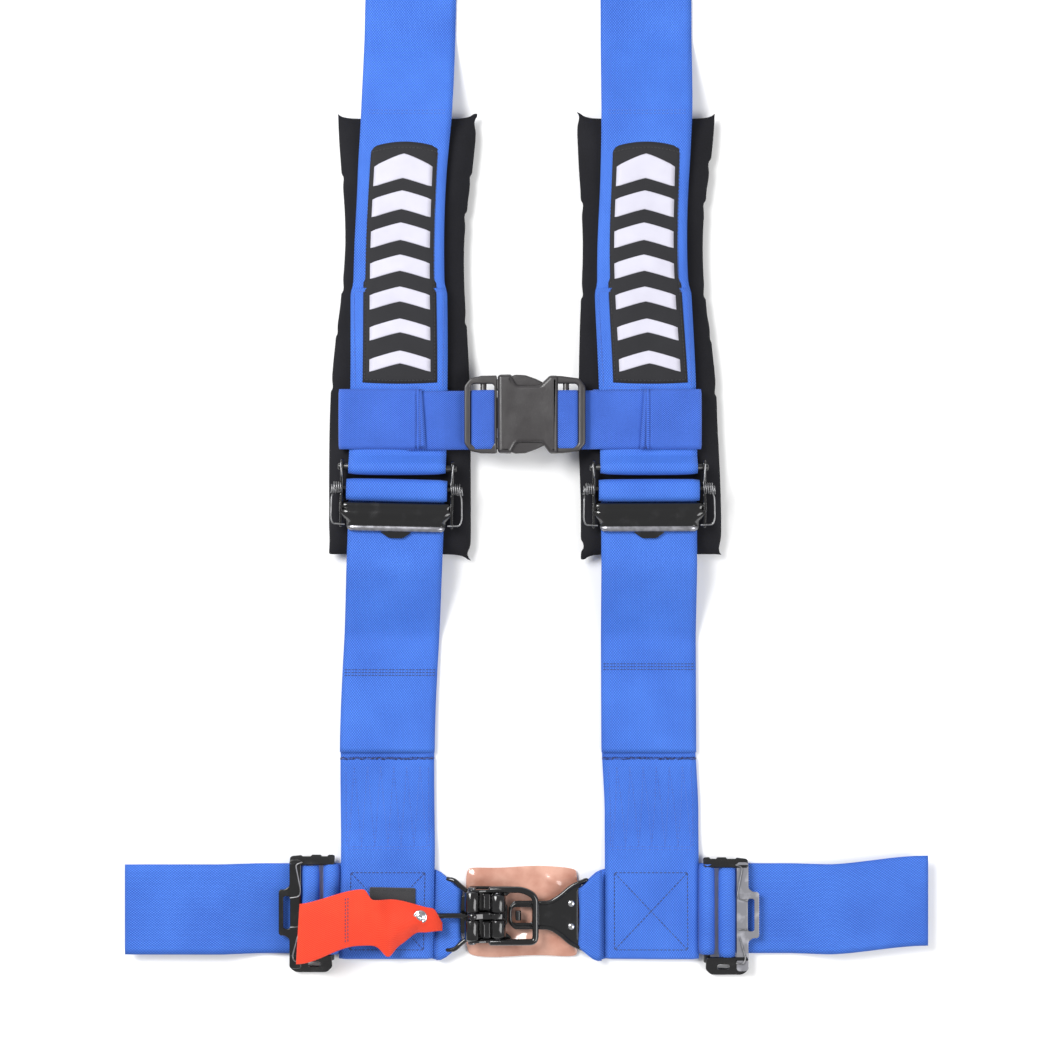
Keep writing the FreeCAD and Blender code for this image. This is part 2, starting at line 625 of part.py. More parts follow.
def tilt_lock_frame(plate_depth, tab, lip_plus, lip_minus):
    """Pressed frame of an adjuster. Its fixed bar is the Y axis; the grip plate is towards -X."""
    inner = "dims.ear_half_span"
    outer = "(dims.ear_half_span + dims.ear_thickness)"
    top = "dims.ear_radius"
    far = "(dims.grip_plate_start + %s)" % plate_depth
    ears = []
    radius = size("ear_radius")
    far_x = size("grip_plate_start") + size(plate_depth.split(".")[1])
    corner = 1.0
    low_corner = 3.0
    outline = closed_outline([(0, 0, radius), (corner - far_x, radius - corner, corner),
                              (corner - far_x, corner - low_corner, corner),
                              (-size("bar_spacing"), corner - radius, corner)])
    for side in (1, -1):
        ear = padded_body("XZ_Plane", outline, "dims.ear_thickness")
        middle = "%d * (dims.ear_half_span + dims.ear_thickness / 2)" % side
        place(ear, at_y=middle)
        ears.append(ear)
    bar = rod("dims.bar_radius", "Y", ("-" + outer, outer), ("0", "0"))
    plate = box(("-" + far, "-dims.grip_plate_start"), ("-" + outer, outer),
                (top + " - dims.ear_thickness", top))
    lips = []
    for side, lip in ((1, lip_plus), (-1, lip_minus)):
        ends = [outer, "%s + %s" % (outer, lip)]
        if side < 0:
            ends = ["-(%s + %s)" % (outer, lip), "-" + outer]
        lip_heights = (top + " - dims.lip_thickness", top)
        lips.append(box(("-%s + 1" % far, "dims.lip_thickness"), ends, lip_heights))
    frame = fuse(bar, plate, *(ears + lips + tab(far, top)))
    slots = []
    pin = "(dims.bar_pin_radius + dims.clearance / 2)"
    for side in (1, -1):
        ends = ("%s - 1" % inner, "%s + 1" % outer) if side > 0 else ("-%s - 1" % outer, "-%s + 1" % inner)
        for shift in ("0", "dims.bar_travel"):
            slots.append(rod(pin, "Y", ends, ("-dims.bar_spacing + %s" % shift, "0")))
        travel = ("-dims.bar_spacing", "-dims.bar_spacing + dims.bar_travel")
        slots.append(box(travel, ends, ("-" + pin, pin)))
    return cut(frame, fuse(*slots))


def handle_with_window(far, top):
    """Flat handle with a finger window, off the grip plate of a lap adjuster."""
    start = "-%s - dims.lap_handle_depth" % far
    heights = (top + " - dims.ear_thickness", top)
    handle = box((start, "-%s + 0.5" % far),
                 ("-dims.lap_handle_width / 2", "dims.lap_handle_width / 2"), heights)
    window_start = start + " + dims.window_depth / 2"
    window = box((window_start, window_start + " + dims.window_depth"),
                 ("-dims.window_width / 2", "dims.window_width / 2"), (top + " - 6", top + " + 1"))
    return [cut(handle, window)]


def release_lip(far, top):
    """Short thumb lip off the grip plate of a shoulder adjuster."""
    start = "-%s - dims.release_lip_depth" % far
    heights = (top + " - dims.ear_thickness", top)
    return [box((start, "-%s + 0.5" % far),
                ("-dims.release_lip_width / 2", "dims.release_lip_width / 2"), heights)]


def adjuster(name, plate_depth, tab, lips, width, at_x, at_y, deck, turn):
    """All pieces of one adjuster, drawn round its fixed bar and then set down."""
    where = {"at_x": at_x, "at_y": at_y, "turn": turn,
             "at_z": "%s + 2 * dims.clearance + dims.webbing_thickness + dims.bar_radius" % deck}
    outer = "(dims.ear_half_span + dims.ear_thickness)"
    bar_at = ("-dims.bar_spacing", "0")
    keep(place(tilt_lock_frame(plate_depth, tab, *lips), **where), name + "_frame")
    body_end = "(dims.ear_half_span - dims.clearance)"
    head = "dims.bar_head_thickness"
    pin_end = "(%s + dims.spring_length + dims.clearance + %s)" % (outer, head)
    bar = fuse(rod("dims.bar_radius", "Y", ("-" + body_end, body_end), bar_at),
               rod("dims.bar_pin_radius", "Y", ("-" + pin_end, pin_end), bar_at),
               rod("dims.spring_radius", "Y", (pin_end + " - " + head, pin_end), bar_at),
               rod("dims.spring_radius", "Y", ("-" + pin_end, "-%s + %s" % (pin_end, head)), bar_at))
    keep(place(bar, **where), name + "_slide_bar")
    coils = []
    for side in (1, -1):
        ends = (outer + " + dims.clearance", outer + " + dims.spring_length")
        if side < 0:
            ends = ("-(%s)" % ends[1], "-(%s)" % ends[0])
        coils.append(tube("dims.spring_radius", "dims.bar_pin_radius + 0.1", "Y", ends, bar_at))
        leg_y = ends[1] + " - dims.spring_wire" if side > 0 else ends[0] + " + dims.spring_wire"
        coils.append(rod("dims.spring_wire / 2", "X",
                         ("-dims.bar_spacing - dims.spring_leg", "-dims.bar_spacing"),
                         (leg_y, "(dims.spring_wire / 2) - dims.spring_radius")))
    keep(place(fuse(*coils), **where), name + "_springs")
    wrap = tube("dims.bar_radius + dims.clearance + dims.webbing_thickness",
                "dims.bar_radius + dims.clearance",
                "Y", ("-%s / 2" % width, "%s / 2" % width), bar_at)
    keep(place(wrap, **where), name + "_webbing_wrap")


LAP_ADJUSTER_Y = "dims.lap_line_y - dims.lap_adjuster_drop"
adjuster("left_lap_adjuster", "dims.lap_plate_depth", handle_with_window,
         ("dims.narrow_lip", "dims.wide_lip"),
         "dims.lap_width", "dims.left_lap_adjuster_x", LAP_ADJUSTER_Y, "0", "0")
adjuster("right_lap_adjuster", "dims.lap_plate_depth", handle_with_window,
         ("dims.wide_lip", "dims.narrow_lip"),
         "dims.lap_width", "dims.right_lap_adjuster_x", LAP_ADJUSTER_Y, "0", "180")
for side_name, strap_x, slant, pad_x in SIDES:
    adjuster(side_name + "_shoulder_adjuster", "dims.shoulder_plate_depth", release_lip,
             ("dims.narrow_lip", "dims.narrow_lip"), "dims.shoulder_width", strap_x,
             "dims.lap_line_y + dims.shoulder_adjuster_y", "dims.deck_z", "90 - %s" % slant)


# ---------------------------------------------------------------- anchor brackets and three-bar slides


def anchor_bracket(label, half_width, at_x, at_y, turn):
    """Steel plate with a webbing slot and a bolt eye. Its slot bar is the Y axis."""
    half = size(half_width)
    reach = size("bracket_reach")
    bar_half = size("slot_bar_width") / 2
    corner = 3.0
    shoulder_x = 10.0
    discs = [(corner - bar_half, corner - half, corner), (shoulder_x - corner, corner - half, corner),
             (reach, 0, size("bracket_eye_radius")),
             (shoulder_x - corner, half - corner, corner), (corner - bar_half, half - corner, corner)]
    body = padded_body("XY_Plane", closed_outline(discs), "dims.plate_thickness")
    slot = rounded_slot(bar_half, 3 * bar_half, half - size("bracket_rail"))
    holes = closed_outline(slot)
    holes.append(Part.Circle(Vector(reach, 0, 0), Vector(0, 0, 1), size("bolt_hole_radius")))
    hole_sketch = sketch_on(body, "XY_Plane", holes, "holes")
    pocket = body.newObject("PartDesign::Pocket", "slot_and_eye")
    pocket.Profile = hole_sketch
    pocket.Type = "ThroughAll"
    pocket.SideType = "Symmetric"
    keep(place(body, at_x=at_x, at_y=at_y, at_z="dims.bracket_z", turn=turn), label)


def webbing_slide(label, at_x, at_y, turn):
    """Three-bar slide that locks the shoulder strap's return to the strap."""
    half_length = "(dims.slide_length / 2)"
    bar_half = "dims.slot_bar_width"
    heights = ("-dims.plate_thickness / 2", "dims.plate_thickness / 2")
    plate = box(("-" + half_length, half_length),
                ("-dims.slide_half_width", "dims.slide_half_width"), heights)
    slot_half = "(dims.slide_half_width - dims.bracket_rail)"
    slots = []
    slot_heights = ("-dims.plate_thickness", "dims.plate_thickness")
    for ends in ((bar_half, bar_half + " + dims.slide_slot"),
                 ("-%s - dims.slide_slot" % bar_half, "-" + bar_half)):
        slots.append(box(ends, ("-" + slot_half, slot_half), slot_heights))
    height = "2 * (dims.clearance + dims.webbing_thickness) + dims.clearance + dims.plate_thickness / 2"
    keep(place(cut(plate, fuse(*slots)), at_x=at_x, at_y=at_y, at_z=height, turn=turn), label)


anchor_bracket("left_lap_bracket", "lap_bracket_half_width", "-dims.lap_anchor_x", "dims.lap_line_y", "180")
anchor_bracket("right_lap_bracket", "lap_bracket_half_width", "dims.lap_anchor_x", "dims.lap_line_y", "0")
for side_name, strap_x, slant, pad_x in SIDES:
    bracket_x, bracket_y = strap_point(strap_x, slant, "dims.shoulder_anchor_y")
    anchor_bracket(side_name + "_shoulder_bracket", "shoulder_bracket_half_width",
                   bracket_x, bracket_y, "90 - %s" % slant)
    slide_x, slide_y = strap_point(strap_x, slant, "dims.webbing_slide_y")
    webbing_slide(side_name + "_webbing_slide", slide_x, slide_y, "90 - %s" % slant)


# ---------------------------------------------------------------- latch


def plan_plate(discs, slots, height):
    """Flat plate seen from above, with slots, from height up by the plate's thickness."""
    body = padded_body("XY_Plane", closed_outline(discs), "dims.plate_thickness", symmetric=False)
    holes = []
    for slot in slots:
        holes.extend(closed_outline(slot))
    hole_sketch = sketch_on(body, "XY_Plane", holes, "slots")
    pocket = body.newObject("PartDesign::Pocket", "slots_cut")
    pocket.Profile = hole_sketch
    pocket.Type = "ThroughAll"
    pocket.SideType = "Symmetric"
    return place(body, at_y=LATCH_Y, at_z=height)


def mirror_pairs(discs):
    """Close an outline given on its -Y side, in order, with the same discs on its +Y side."""
    return discs + [(x, -y, radius) for x, y, radius in reversed(discs)]


corner = 2.0
inner_curve = 6.0
slot_length = 4.0
throat_slot = size("throat_width") / 2 + 3.0
bar_half = size("latch_bar_width") / 2
base_x = size("base_bar_x")
base_half = size("base_half_width")
waist = size("base_waist")
base_discs = mirror_pairs([
    (base_x - bar_half + corner, corner - base_half, corner),
    (base_x + bar_half + corner, corner - base_half, corner),
    (size("base_neck_x"), -waist - inner_curve, -inner_curve),
    (size("base_shoulder_x"), 2 * corner - waist, 2 * corner),
    (size("base_tongue_x"), -size("base_tongue_half_width") - inner_curve, -inner_curve),
    (size("base_end_x") - corner, corner - size("base_tongue_half_width"), corner)])
base_slot = rounded_slot(base_x + bar_half, base_x + bar_half + slot_length, throat_slot)
base_plate = plan_plate(base_discs, [base_slot], "dims.base_z")

BASE_TOP = "dims.base_z + dims.plate_thickness"
HOOK_X = "dims.link_tip_x + dims.hook_gap"
ACROSS = "dims.base_half_width"


def latch_rod(radius, low, high, at_x, at_z):
    """Round piece across the latch, between two distances from its middle line."""
    return rod(radius, "Y", ("%s + %s" % (LATCH_Y, low), "%s + %s" % (LATCH_Y, high)), (at_x, at_z))


def latch_box(span_x, low, high, span_z):
    """Block across the latch, between two distances from its middle line."""
    return box(span_x, ("%s + %s" % (LATCH_Y, low), "%s + %s" % (LATCH_Y, high)), span_z)


def knuckle_pair(radius, inner, outer, at_x, at_z):
    return [latch_rod(radius, inner, outer, at_x, at_z),
            latch_rod(radius, "-(%s)" % outer, "-(%s)" % inner, at_x, at_z)]


LEVER_HALF = "dims.lever_width / 2"
INNER_END = LEVER_HALF + " + dims.clearance"
PIVOT_HOLE = "dims.pin_radius + dims.pin_clearance"
base = fuse(
    base_plate,
    *knuckle_pair("dims.base_knuckle_radius", INNER_END, "dims.base_knuckle_end",
                  "dims.pivot_x", "dims.pivot_z"),
    latch_box((HOOK_X, HOOK_X + " + dims.hook_length"), "-dims.hook_width / 2", "dims.hook_width / 2",
              ("dims.base_z", BASE_TOP + " + dims.hook_height")))
pivot_bore = latch_rod("dims.pin_radius", "-" + ACROSS, ACROSS, "dims.pivot_x", "dims.pivot_z")
keep(cut(base, pivot_bore), "latch_base")
keep(latch_rod("dims.pin_radius", "-dims.base_knuckle_end", "dims.base_knuckle_end",
               "dims.pivot_x", "dims.pivot_z"),
     "latch_pivot_pin")

lever = fuse(
    latch_rod("dims.lever_eye_radius", "-" + LEVER_HALF, LEVER_HALF, "dims.pivot_x", "dims.pivot_z"),
    latch_rod("dims.lever_eye_radius", "-" + LEVER_HALF, LEVER_HALF,
              "dims.bail_pivot_x", "dims.bail_pivot_z"),
    latch_box(("dims.bail_pivot_x", "dims.pivot_x"), "-" + LEVER_HALF, LEVER_HALF,
              ("dims.pivot_z - dims.lever_foot", "dims.pivot_z + dims.lever_head")),
    rod("dims.lever_rod_radius", "X", ("dims.lever_rod_end_x", "dims.bail_pivot_x"),
        (LATCH_Y, "dims.bail_pivot_z")))
lever_bore = latch_rod(PIVOT_HOLE, "-" + ACROSS, ACROSS, "dims.pivot_x", "dims.pivot_z")
bail_pin_hole = latch_rod("dims.pin_radius", "-" + ACROSS, ACROSS, "dims.bail_pivot_x", "dims.bail_pivot_z")
keep(cut(lever, lever_bore, bail_pin_hole), "latch_lever")
keep(latch_rod("dims.pin_radius", "-dims.bail_half_width", "dims.bail_half_width",
               "dims.bail_pivot_x", "dims.bail_pivot_z"), "bail_pin")

ARM_INNER = "dims.bail_half_width - dims.bail_arm_width"
LINK_TOP = "dims.link_z + dims.plate_thickness"
BAIL_BAR_Z = LINK_TOP + " + dims.bail_bar_gap + dims.bail_bar_radius"
arms = []
arm_heights = ("dims.pivot_z - dims.bail_arm_height / 2", "dims.pivot_z + dims.bail_arm_height / 2")
for low, high in ((ARM_INNER, "dims.bail_half_width"), ("-dims.bail_half_width", "-(%s)" % ARM_INNER)):
    arms.append(latch_box(("dims.bail_pivot_x", "dims.bail_bar_x"), low, high, arm_heights))
bail = fuse(
    latch_rod("dims.bail_bar_radius", "-dims.bail_half_width", "dims.bail_half_width",
              "dims.bail_bar_x", BAIL_BAR_Z),
    *(arms + knuckle_pair("dims.bail_knuckle_radius", INNER_END, "dims.bail_half_width",
                          "dims.bail_pivot_x", "dims.bail_pivot_z")))
bail_bore = latch_rod(PIVOT_HOLE, "-" + ACROSS, ACROSS, "dims.bail_pivot_x", "dims.bail_pivot_z")
keep(cut(bail, bail_bore), "latch_bail")

link_bar_x = size("link_bar_x")
link_half = size("link_half_width")
eye_half = size("link_eye_half_width")
tip = size("link_tip_x")
eye_corner = 5.0
wide_curve = 14.0
slot_start = link_bar_x - bar_half - slot_length
link_discs = mirror_pairs([
    (tip + eye_corner, eye_corner - eye_half, eye_corner),
    (size("link_neck_x"), -eye_half - wide_curve, -wide_curve),
    (slot_start - corner, corner - link_half, corner),
    (link_bar_x + bar_half - corner, corner - link_half, corner)])
eye = rounded_slot(tip + size("link_eye_rim"), size("link_eye_end_x"), size("link_eye_slot"))
link_slot = rounded_slot(slot_start, link_bar_x - bar_half, throat_slot)
keep(plan_plate(link_discs, [eye, link_slot], "dims.link_z"), "latch_link")
RIVET_X = "dims.link_bar_x - dims.link_rivet_setback"
link_rivets = [rod("dims.link_rivet_radius", "Z", (LINK_TOP, LINK_TOP + " + dims.rivet_head_height"),
                   (RIVET_X, "%s + %s * dims.link_rivet_y" % (LATCH_Y, edge))) for edge in ("1", "-1")]
keep(fuse(*link_rivets), "link_rivets")

pad_corner = 6.0
latch_pad_discs = rounded_slot(0, size("latch_pad_length"), size("latch_pad_width") / 2, pad_corner)
latch_pad = padded_body("XY_Plane", closed_outline(latch_pad_discs), "dims.latch_pad_height", symmetric=False)
latch_pad_y = "dims.lap_line_y - dims.latch_pad_drop"
keep(place(latch_pad, at_x="dims.latch_pad_x", at_y=latch_pad_y, at_z="dims.clearance"), "latch_pad")


# ---------------------------------------------------------------- pull tab

tab_thick = size("tab_thickness")
tab_offset = size("lever_rod_radius") + tab_thick / 2 + 0.2
tab_low = size("bail_pivot_z") - tab_offset
tab_high = size("bail_pivot_z") + tab_offset
tab_fold = 1.5 * tab_thick
tab_discs = [
    (size("tab_root_x"), tab_low, 0),
    (size("tab_bend_x"), tab_low + bend, -bend),
    (size("tab_tip_x"), size("tab_tip_z"), -tab_fold),
    (size("tab_bend_x"), tab_high + bend, bend),
    (size("tab_root_x"), tab_high, 0),
]
tab = padded_body("XZ_Plane", band_outline(tab_discs, tab_thick), "dims.tab_width")
keep(place(tab, at_y="dims.lap_line_y - dims.tab_drop"), "pull_tab")
rivet_at = ("dims.tab_rivet_x", LATCH_Y)
rivet_top = tab_high + tab_thick / 2
rivet_foot = tab_low - tab_thick / 2
rivet_heights = ((rivet_top, "%s + dims.rivet_head_height" % rivet_top),
                 ("%s - dims.rivet_head_height" % rivet_foot, rivet_foot))
rivet_heads = [rod("dims.rivet_head_radius", "Z", heights, rivet_at) for heights in rivet_heights]
keep(fuse(*rivet_heads), "tab_rivet")
fastener_foot = third_layer + thick / 2 + gap / 3
keep(box(("dims.fastener_left_x", "dims.fastener_right_x"),
         ("dims.lap_line_y + dims.fastener_foot_y", "dims.lap_line_y + dims.fastener_head_y"),
         (fastener_foot, "%s + dims.fastener_thickness" % fastener_foot)), "tab_fastener")


# ---------------------------------------------------------------- sternum strap and buckle


def sternum_strap(label, fold_x, knee_x, frame_x, roll_x, side):
    """Strap that folds round a shoulder strap and loops through one half of the buckle."""
    roll_loop = size("roll_bar_radius") + gap + thick / 2
    level = size("buckle_z") - roll_loop
    behind = size("deck_z") - thick / 2 - 0.1
    front = deck_second + thick + gap
    fold = (front - behind) / 2
    discs = [
        (-knee_x + small_bend, behind, 0),
        (-fold_x, behind + fold, -fold),
        (-knee_x, front - small_bend, -small_bend),
        (-frame_x, level + small_bend, small_bend),
        (roll_x, size("buckle_z"), roll_loop),
        (roll_x - 2 * roll_loop, size("buckle_z") + roll_loop - thick / 2, 0),
    ]
    if side > 0:
        discs = mirrored(discs)
    webbing(label, "XZ_Plane", discs, "dims.sternum_width", at_y="dims.lap_line_y + dims.sternum_y")


sternum_strap("left_sternum_strap", size("left_fold_x"), size("left_knee_x"), size("left_frame_x"),
              size("plug_roll_x"), -1)
sternum_strap("right_sternum_strap", size("right_fold_x"), size("right_knee_x"), size("right_frame_x"),
              -size("socket_roll_x"), 1)

BUCKLE_Y = "(dims.lap_line_y + dims.buckle_y)"


def buckle_box(span_x, half_y, half_z, offset="0"):
    """Block round the buckle's middle, between two X values, half_y and half_z each way."""
    middle_y = "%s + %s" % (BUCKLE_Y, offset)
    return box(span_x, ("%s - %s" % (middle_y, half_y), "%s + %s" % (middle_y, half_y)),
               ("dims.buckle_z - %s" % half_z, "dims.buckle_z + %s" % half_z))


def webbing_frame(inner_x, outer_x, roll_x):
    """Two rails, an end bar and a roll bar; inner_x and outer_x run away from the buckle's middle."""
    outward = size(outer_x.split(".")[1]) > 0
    span = (inner_x, outer_x) if outward else (outer_x, inner_x)
    inner_edge = outer_x + (" - dims.end_bar_width" if outward else " + dims.end_bar_width")
    end_bar = (inner_edge, outer_x) if outward else (outer_x, inner_edge)
    middle = "(dims.frame_rail_inner + dims.frame_rail_outer) / 2"
    half = "(dims.frame_rail_outer - dims.frame_rail_inner) / 2"
    pieces = [buckle_box(span, half, "dims.frame_half_height", side + middle) for side in ("", "-")]
    pieces.append(box(end_bar,
                      ("%s - dims.frame_rail_outer" % BUCKLE_Y, "%s + dims.frame_rail_outer" % BUCKLE_Y),
                      ("dims.buckle_z - 1.8", "dims.buckle_z + dims.frame_half_height")))
    pieces.append(rod("dims.roll_bar_radius", "Y",
                      ("%s - dims.frame_rail_outer" % BUCKLE_Y, "%s + dims.frame_rail_outer" % BUCKLE_Y),
                      (roll_x, "dims.buckle_z")))
    return pieces


shell = buckle_box(("dims.socket_mouth_x", "dims.socket_end_x"),
                   "dims.socket_half_width", "dims.buckle_half_height")
cavity = buckle_box(("dims.socket_mouth_x - 1", "dims.socket_end_x - dims.buckle_wall"),
                    "(dims.socket_half_width - dims.buckle_wall)",
                    "(dims.buckle_half_height - dims.buckle_wall)")
windows = buckle_box(("dims.window_left_x", "dims.window_right_x"), "(dims.socket_half_width + 1)",
                     "(dims.buckle_half_height - dims.buckle_wall + dims.clearance)")
socket = fuse(cut(shell, cavity, windows),
              *webbing_frame("dims.socket_end_x", "dims.socket_frame_end_x", "dims.socket_roll_x"))
keep(socket, "buckle_socket")

FACE_X = "dims.socket_mouth_x - dims.clearance"
plug_face = buckle_box((FACE_X + " - dims.plug_face_depth", FACE_X),
                       "dims.frame_rail_outer", "dims.frame_half_height")
tongue = buckle_box((FACE_X, "dims.plug_tongue_end_x"), "dims.buckle_half_height", "dims.buckle_wall")
plug = fuse(plug_face, tongue,
            *webbing_frame(FACE_X + " - 1", "dims.plug_frame_end_x", "dims.plug_roll_x"))
keep(plug, "buckle_plug")

arm_half = size("buckle_wall")
button_half = size("buckle_half_height") - size("buckle_wall") - gap
for label, side in (("upper_buckle_prong", 1), ("lower_buckle_prong", -1)):
    arm = buckle_box(("dims.socket_mouth_x", "dims.prong_arm_end_x"), arm_half, arm_half,
                     "%d * dims.prong_arm_y" % side)
    button = buckle_box(("dims.prong_button_left_x", "dims.prong_button_right_x"),
                        "dims.prong_button_half_width", button_half, "%d * dims.prong_button_y" % side)
    keep(fuse(arm, button), label)


# ---------------------------------------------------------------- check and write

doc.recompute()

for item in doc.Objects:
    if "Invalid" in item.State or "Error" in item.State:
        raise RuntimeError("%s (%s) failed: %s" % (item.Label, item.Name, item.State))

os.makedirs("parts", exist_ok=True)
for item in kept:
    shape = item.Shape
    if shape.isNull() or not shape.isValid() or shape.Volume <= 0:
        raise RuntimeError("%s has no valid shape" % item.Label)
for item in kept:
    item.Shape.exportStep(os.path.join("parts", item.Label + ".step"))
print("wrote %d sub-parts" % len(kept))
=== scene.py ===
import json
import math
import random

import bmesh
import bpy
from mathutils import Matrix, Vector


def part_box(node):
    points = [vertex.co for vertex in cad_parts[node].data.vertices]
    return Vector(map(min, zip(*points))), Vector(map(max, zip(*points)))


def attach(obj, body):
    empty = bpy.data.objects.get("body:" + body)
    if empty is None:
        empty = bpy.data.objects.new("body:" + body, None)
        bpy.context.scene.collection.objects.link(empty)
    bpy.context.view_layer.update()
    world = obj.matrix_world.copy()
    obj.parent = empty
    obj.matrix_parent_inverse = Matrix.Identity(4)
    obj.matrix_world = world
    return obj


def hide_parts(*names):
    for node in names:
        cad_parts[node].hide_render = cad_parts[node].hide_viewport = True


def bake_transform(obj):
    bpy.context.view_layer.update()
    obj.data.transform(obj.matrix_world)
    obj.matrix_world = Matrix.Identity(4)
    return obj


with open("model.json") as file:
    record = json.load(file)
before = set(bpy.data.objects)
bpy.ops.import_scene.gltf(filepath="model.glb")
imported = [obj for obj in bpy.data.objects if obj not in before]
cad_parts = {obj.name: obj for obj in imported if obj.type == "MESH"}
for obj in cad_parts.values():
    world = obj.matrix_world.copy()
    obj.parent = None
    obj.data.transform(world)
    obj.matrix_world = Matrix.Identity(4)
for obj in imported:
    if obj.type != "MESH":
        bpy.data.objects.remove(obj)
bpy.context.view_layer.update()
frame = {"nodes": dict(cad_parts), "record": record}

# Looks of a four-point racing harness lying flat on a table. Lengths here are in millimetres,
# and every mesh is scaled to metres as it is made. X is across, Y up the shoulder belts, Z up.

MM = 0.001


def node_box(node):
    """Lowest and highest corner of a CAD node, in millimetres."""
    low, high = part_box(node)
    return low / MM, high / MM


def middle(node):
    low, high = node_box(node)
    return (low + high) / 2


def smooth(value):
    """0 below 0, 1 above 1, and an even ramp between."""
    value = min(max(value, 0.0), 1.0)
    return value * value * (3 - 2 * value)


# ---------------------------------------------------------------- sizes read off the frame

LAP_Y = middle("left_lap_tail").y
LATCH_Y = middle("latch_pivot_pin").y
THICK = 1.8                                   # webbing
GAP = 0.3                                     # air that the frame leaves between layers
LAYER = THICK + GAP
FLOOR_LAYER = GAP + THICK / 2
DECK_Z = node_box("left_shoulder_adjuster_webbing_wrap")[0].z - GAP
DECK_LAYER = DECK_Z + GAP + THICK / 2
BAR_LOOP = 5.4                                # middle line of webbing round an adjuster's bar
BAR_HEIGHT = FLOOR_LAYER + BAR_LOOP
BEND = 30.0

SIDES = {
    "left": {"sign": -1, "slant": math.radians(1.25)},
    "right": {"sign": 1, "slant": math.radians(-0.2)},
}
for side_name, side in SIDES.items():
    side["strap_x"] = middle(side_name + "_shoulder_adjuster_frame").x
    side["adjuster_h"] = 373.0


# ---------------------------------------------------------------- materials


def new_material(name, colour, roughness, metallic=0.0, **sockets):
    """A Principled material; sockets are further inputs by name, with _ for a space."""
    material = bpy.data.materials.new(name)
    material.use_nodes = True
    shader = material.node_tree.nodes["Principled BSDF"]
    shader.inputs["Base Color"].default_value = (*colour, 1)
    shader.inputs["Roughness"].default_value = roughness
    shader.inputs["Metallic"].default_value = metallic
    for socket, value in sockets.items():
        shader.inputs[socket.replace("_", " ")].default_value = value
    return material


class Nodes:
    """Short calls that add and link shader nodes."""

    def __init__(self, material):
        self.tree = material.node_tree
        self.shader = self.tree.nodes["Principled BSDF"]

    def add(self, kind, **settings):
        node = self.tree.nodes.new(kind)
        for name, value in settings.items():
            setattr(node, name, value)
        return node

    def link(self, source, target):
        self.tree.links.new(source, target)

    def feed(self, node, **values):
        for name, value in values.items():
            numbered = name[0] == "i" and name[1:].isdigit()
            socket = node.inputs[int(name[1:])] if numbered else node.inputs[name]
            if isinstance(value, (int, float, tuple)):
                socket.default_value = value
            else:
                self.link(value, socket)
        return node

    def math(self, operation, first, second=0.0, third=0.0):
        node = self.add("ShaderNodeMath", operation=operation)
        self.feed(node, i0=first, i1=second, i2=third)
        return node.outputs[0]

    def mix(self, share, first, second):
        node = self.add("ShaderNodeMix", data_type="RGBA")
        self.feed(node, i0=share)
        for index, value in ((6, first), (7, second)):
            if isinstance(value, tuple):
                node.inputs[index].default_value = (*value, 1)
            else:
                self.link(value, node.inputs[index])
        return node.outputs[2]

    def noise(self, scale, detail=2.0, vector=None, roughness=0.5):
        node = self.add("ShaderNodeTexNoise")
        self.feed(node, Scale=scale, Detail=detail, Roughness=roughness)
        if vector is None:
            vector = self.add("ShaderNodeTexCoord").outputs["Object"]
        self.link(vector, node.inputs["Vector"])
        return node.outputs["Fac"]

    def ramp(self, value, low, high):
        """0 at low, 1 at high."""
        node = self.add("ShaderNodeMapRange")
        self.feed(node, i0=value, i1=low, i2=high)
        return node.outputs[0]

    def bump(self, height, strength, distance_mm, normal=None):
        node = self.add("ShaderNodeBump")
        self.feed(node, Strength=strength, Distance=distance_mm * MM, Height=height)
        if normal is not None:
            self.link(normal, node.inputs["Normal"])
        return node.outputs["Normal"]


def woven(name, deep, bright, rib_mm, column_mm, roughness=0.6, relief=0.85, sheen=0.08):
    """Flat woven webbing: ribs across the strap in staggered columns, from the UV map in metres."""
    material = new_material(name, bright, roughness, Sheen_Weight=sheen, Sheen_Roughness=0.4,
                            Specular_IOR_Level=0.35)
    n = Nodes(material)
    uv = n.add("ShaderNodeUVMap", uv_map="strap")
    split = n.add("ShaderNodeSeparateXYZ")
    n.link(uv.outputs["UV"], split.inputs[0])
    across, along = split.outputs[0], split.outputs[1]
    column = n.math("SINE", n.math("MULTIPLY", across, math.tau / (column_mm * MM)))
    stagger = n.math("MULTIPLY", n.math("GREATER_THAN", column, 0.0), math.pi)
    rib = n.math("SINE", n.math("ADD", n.math("MULTIPLY", along, math.tau / (rib_mm * MM)), stagger))
    rib = n.math("MULTIPLY_ADD", rib, 0.5, 0.5)
    crown = n.math("POWER", n.math("ABSOLUTE", column), 0.5)
    height = n.math("MULTIPLY", rib, crown)
    fuzz = n.noise(2600.0, 2.0)
    height = n.math("ADD", height, n.math("MULTIPLY", fuzz, 0.5))
    cloud = n.ramp(n.noise(22.0, 4.0), 0.3, 0.7)
    # Colour follows the weave's height: painted shade in the grooves between ribs and painted highlight on
    # their crests, over a random cloud of tone.
    tone = n.math("ADD", n.math("MULTIPLY", height, 0.64), n.math("MULTIPLY", cloud, 0.14))
    n.link(n.mix(tone, deep, bright), n.shader.inputs["Base Color"])
    n.link(n.bump(height, relief, 0.45), n.shader.inputs["Normal"])
    return material


BLUE = woven("blue_webbing", (0.004, 0.036, 0.31), (0.092, 0.288, 0.98), 2.6, 2.1)
STERNUM_BLUE = woven("sternum_webbing", (0.002, 0.020, 0.20), (0.088, 0.25, 0.98), 2.1, 1.7, relief=1.0)
RED = woven("red_webbing", (0.80, 0.014, 0.006), (1.0, 0.11, 0.035), 2.2, 1.8)


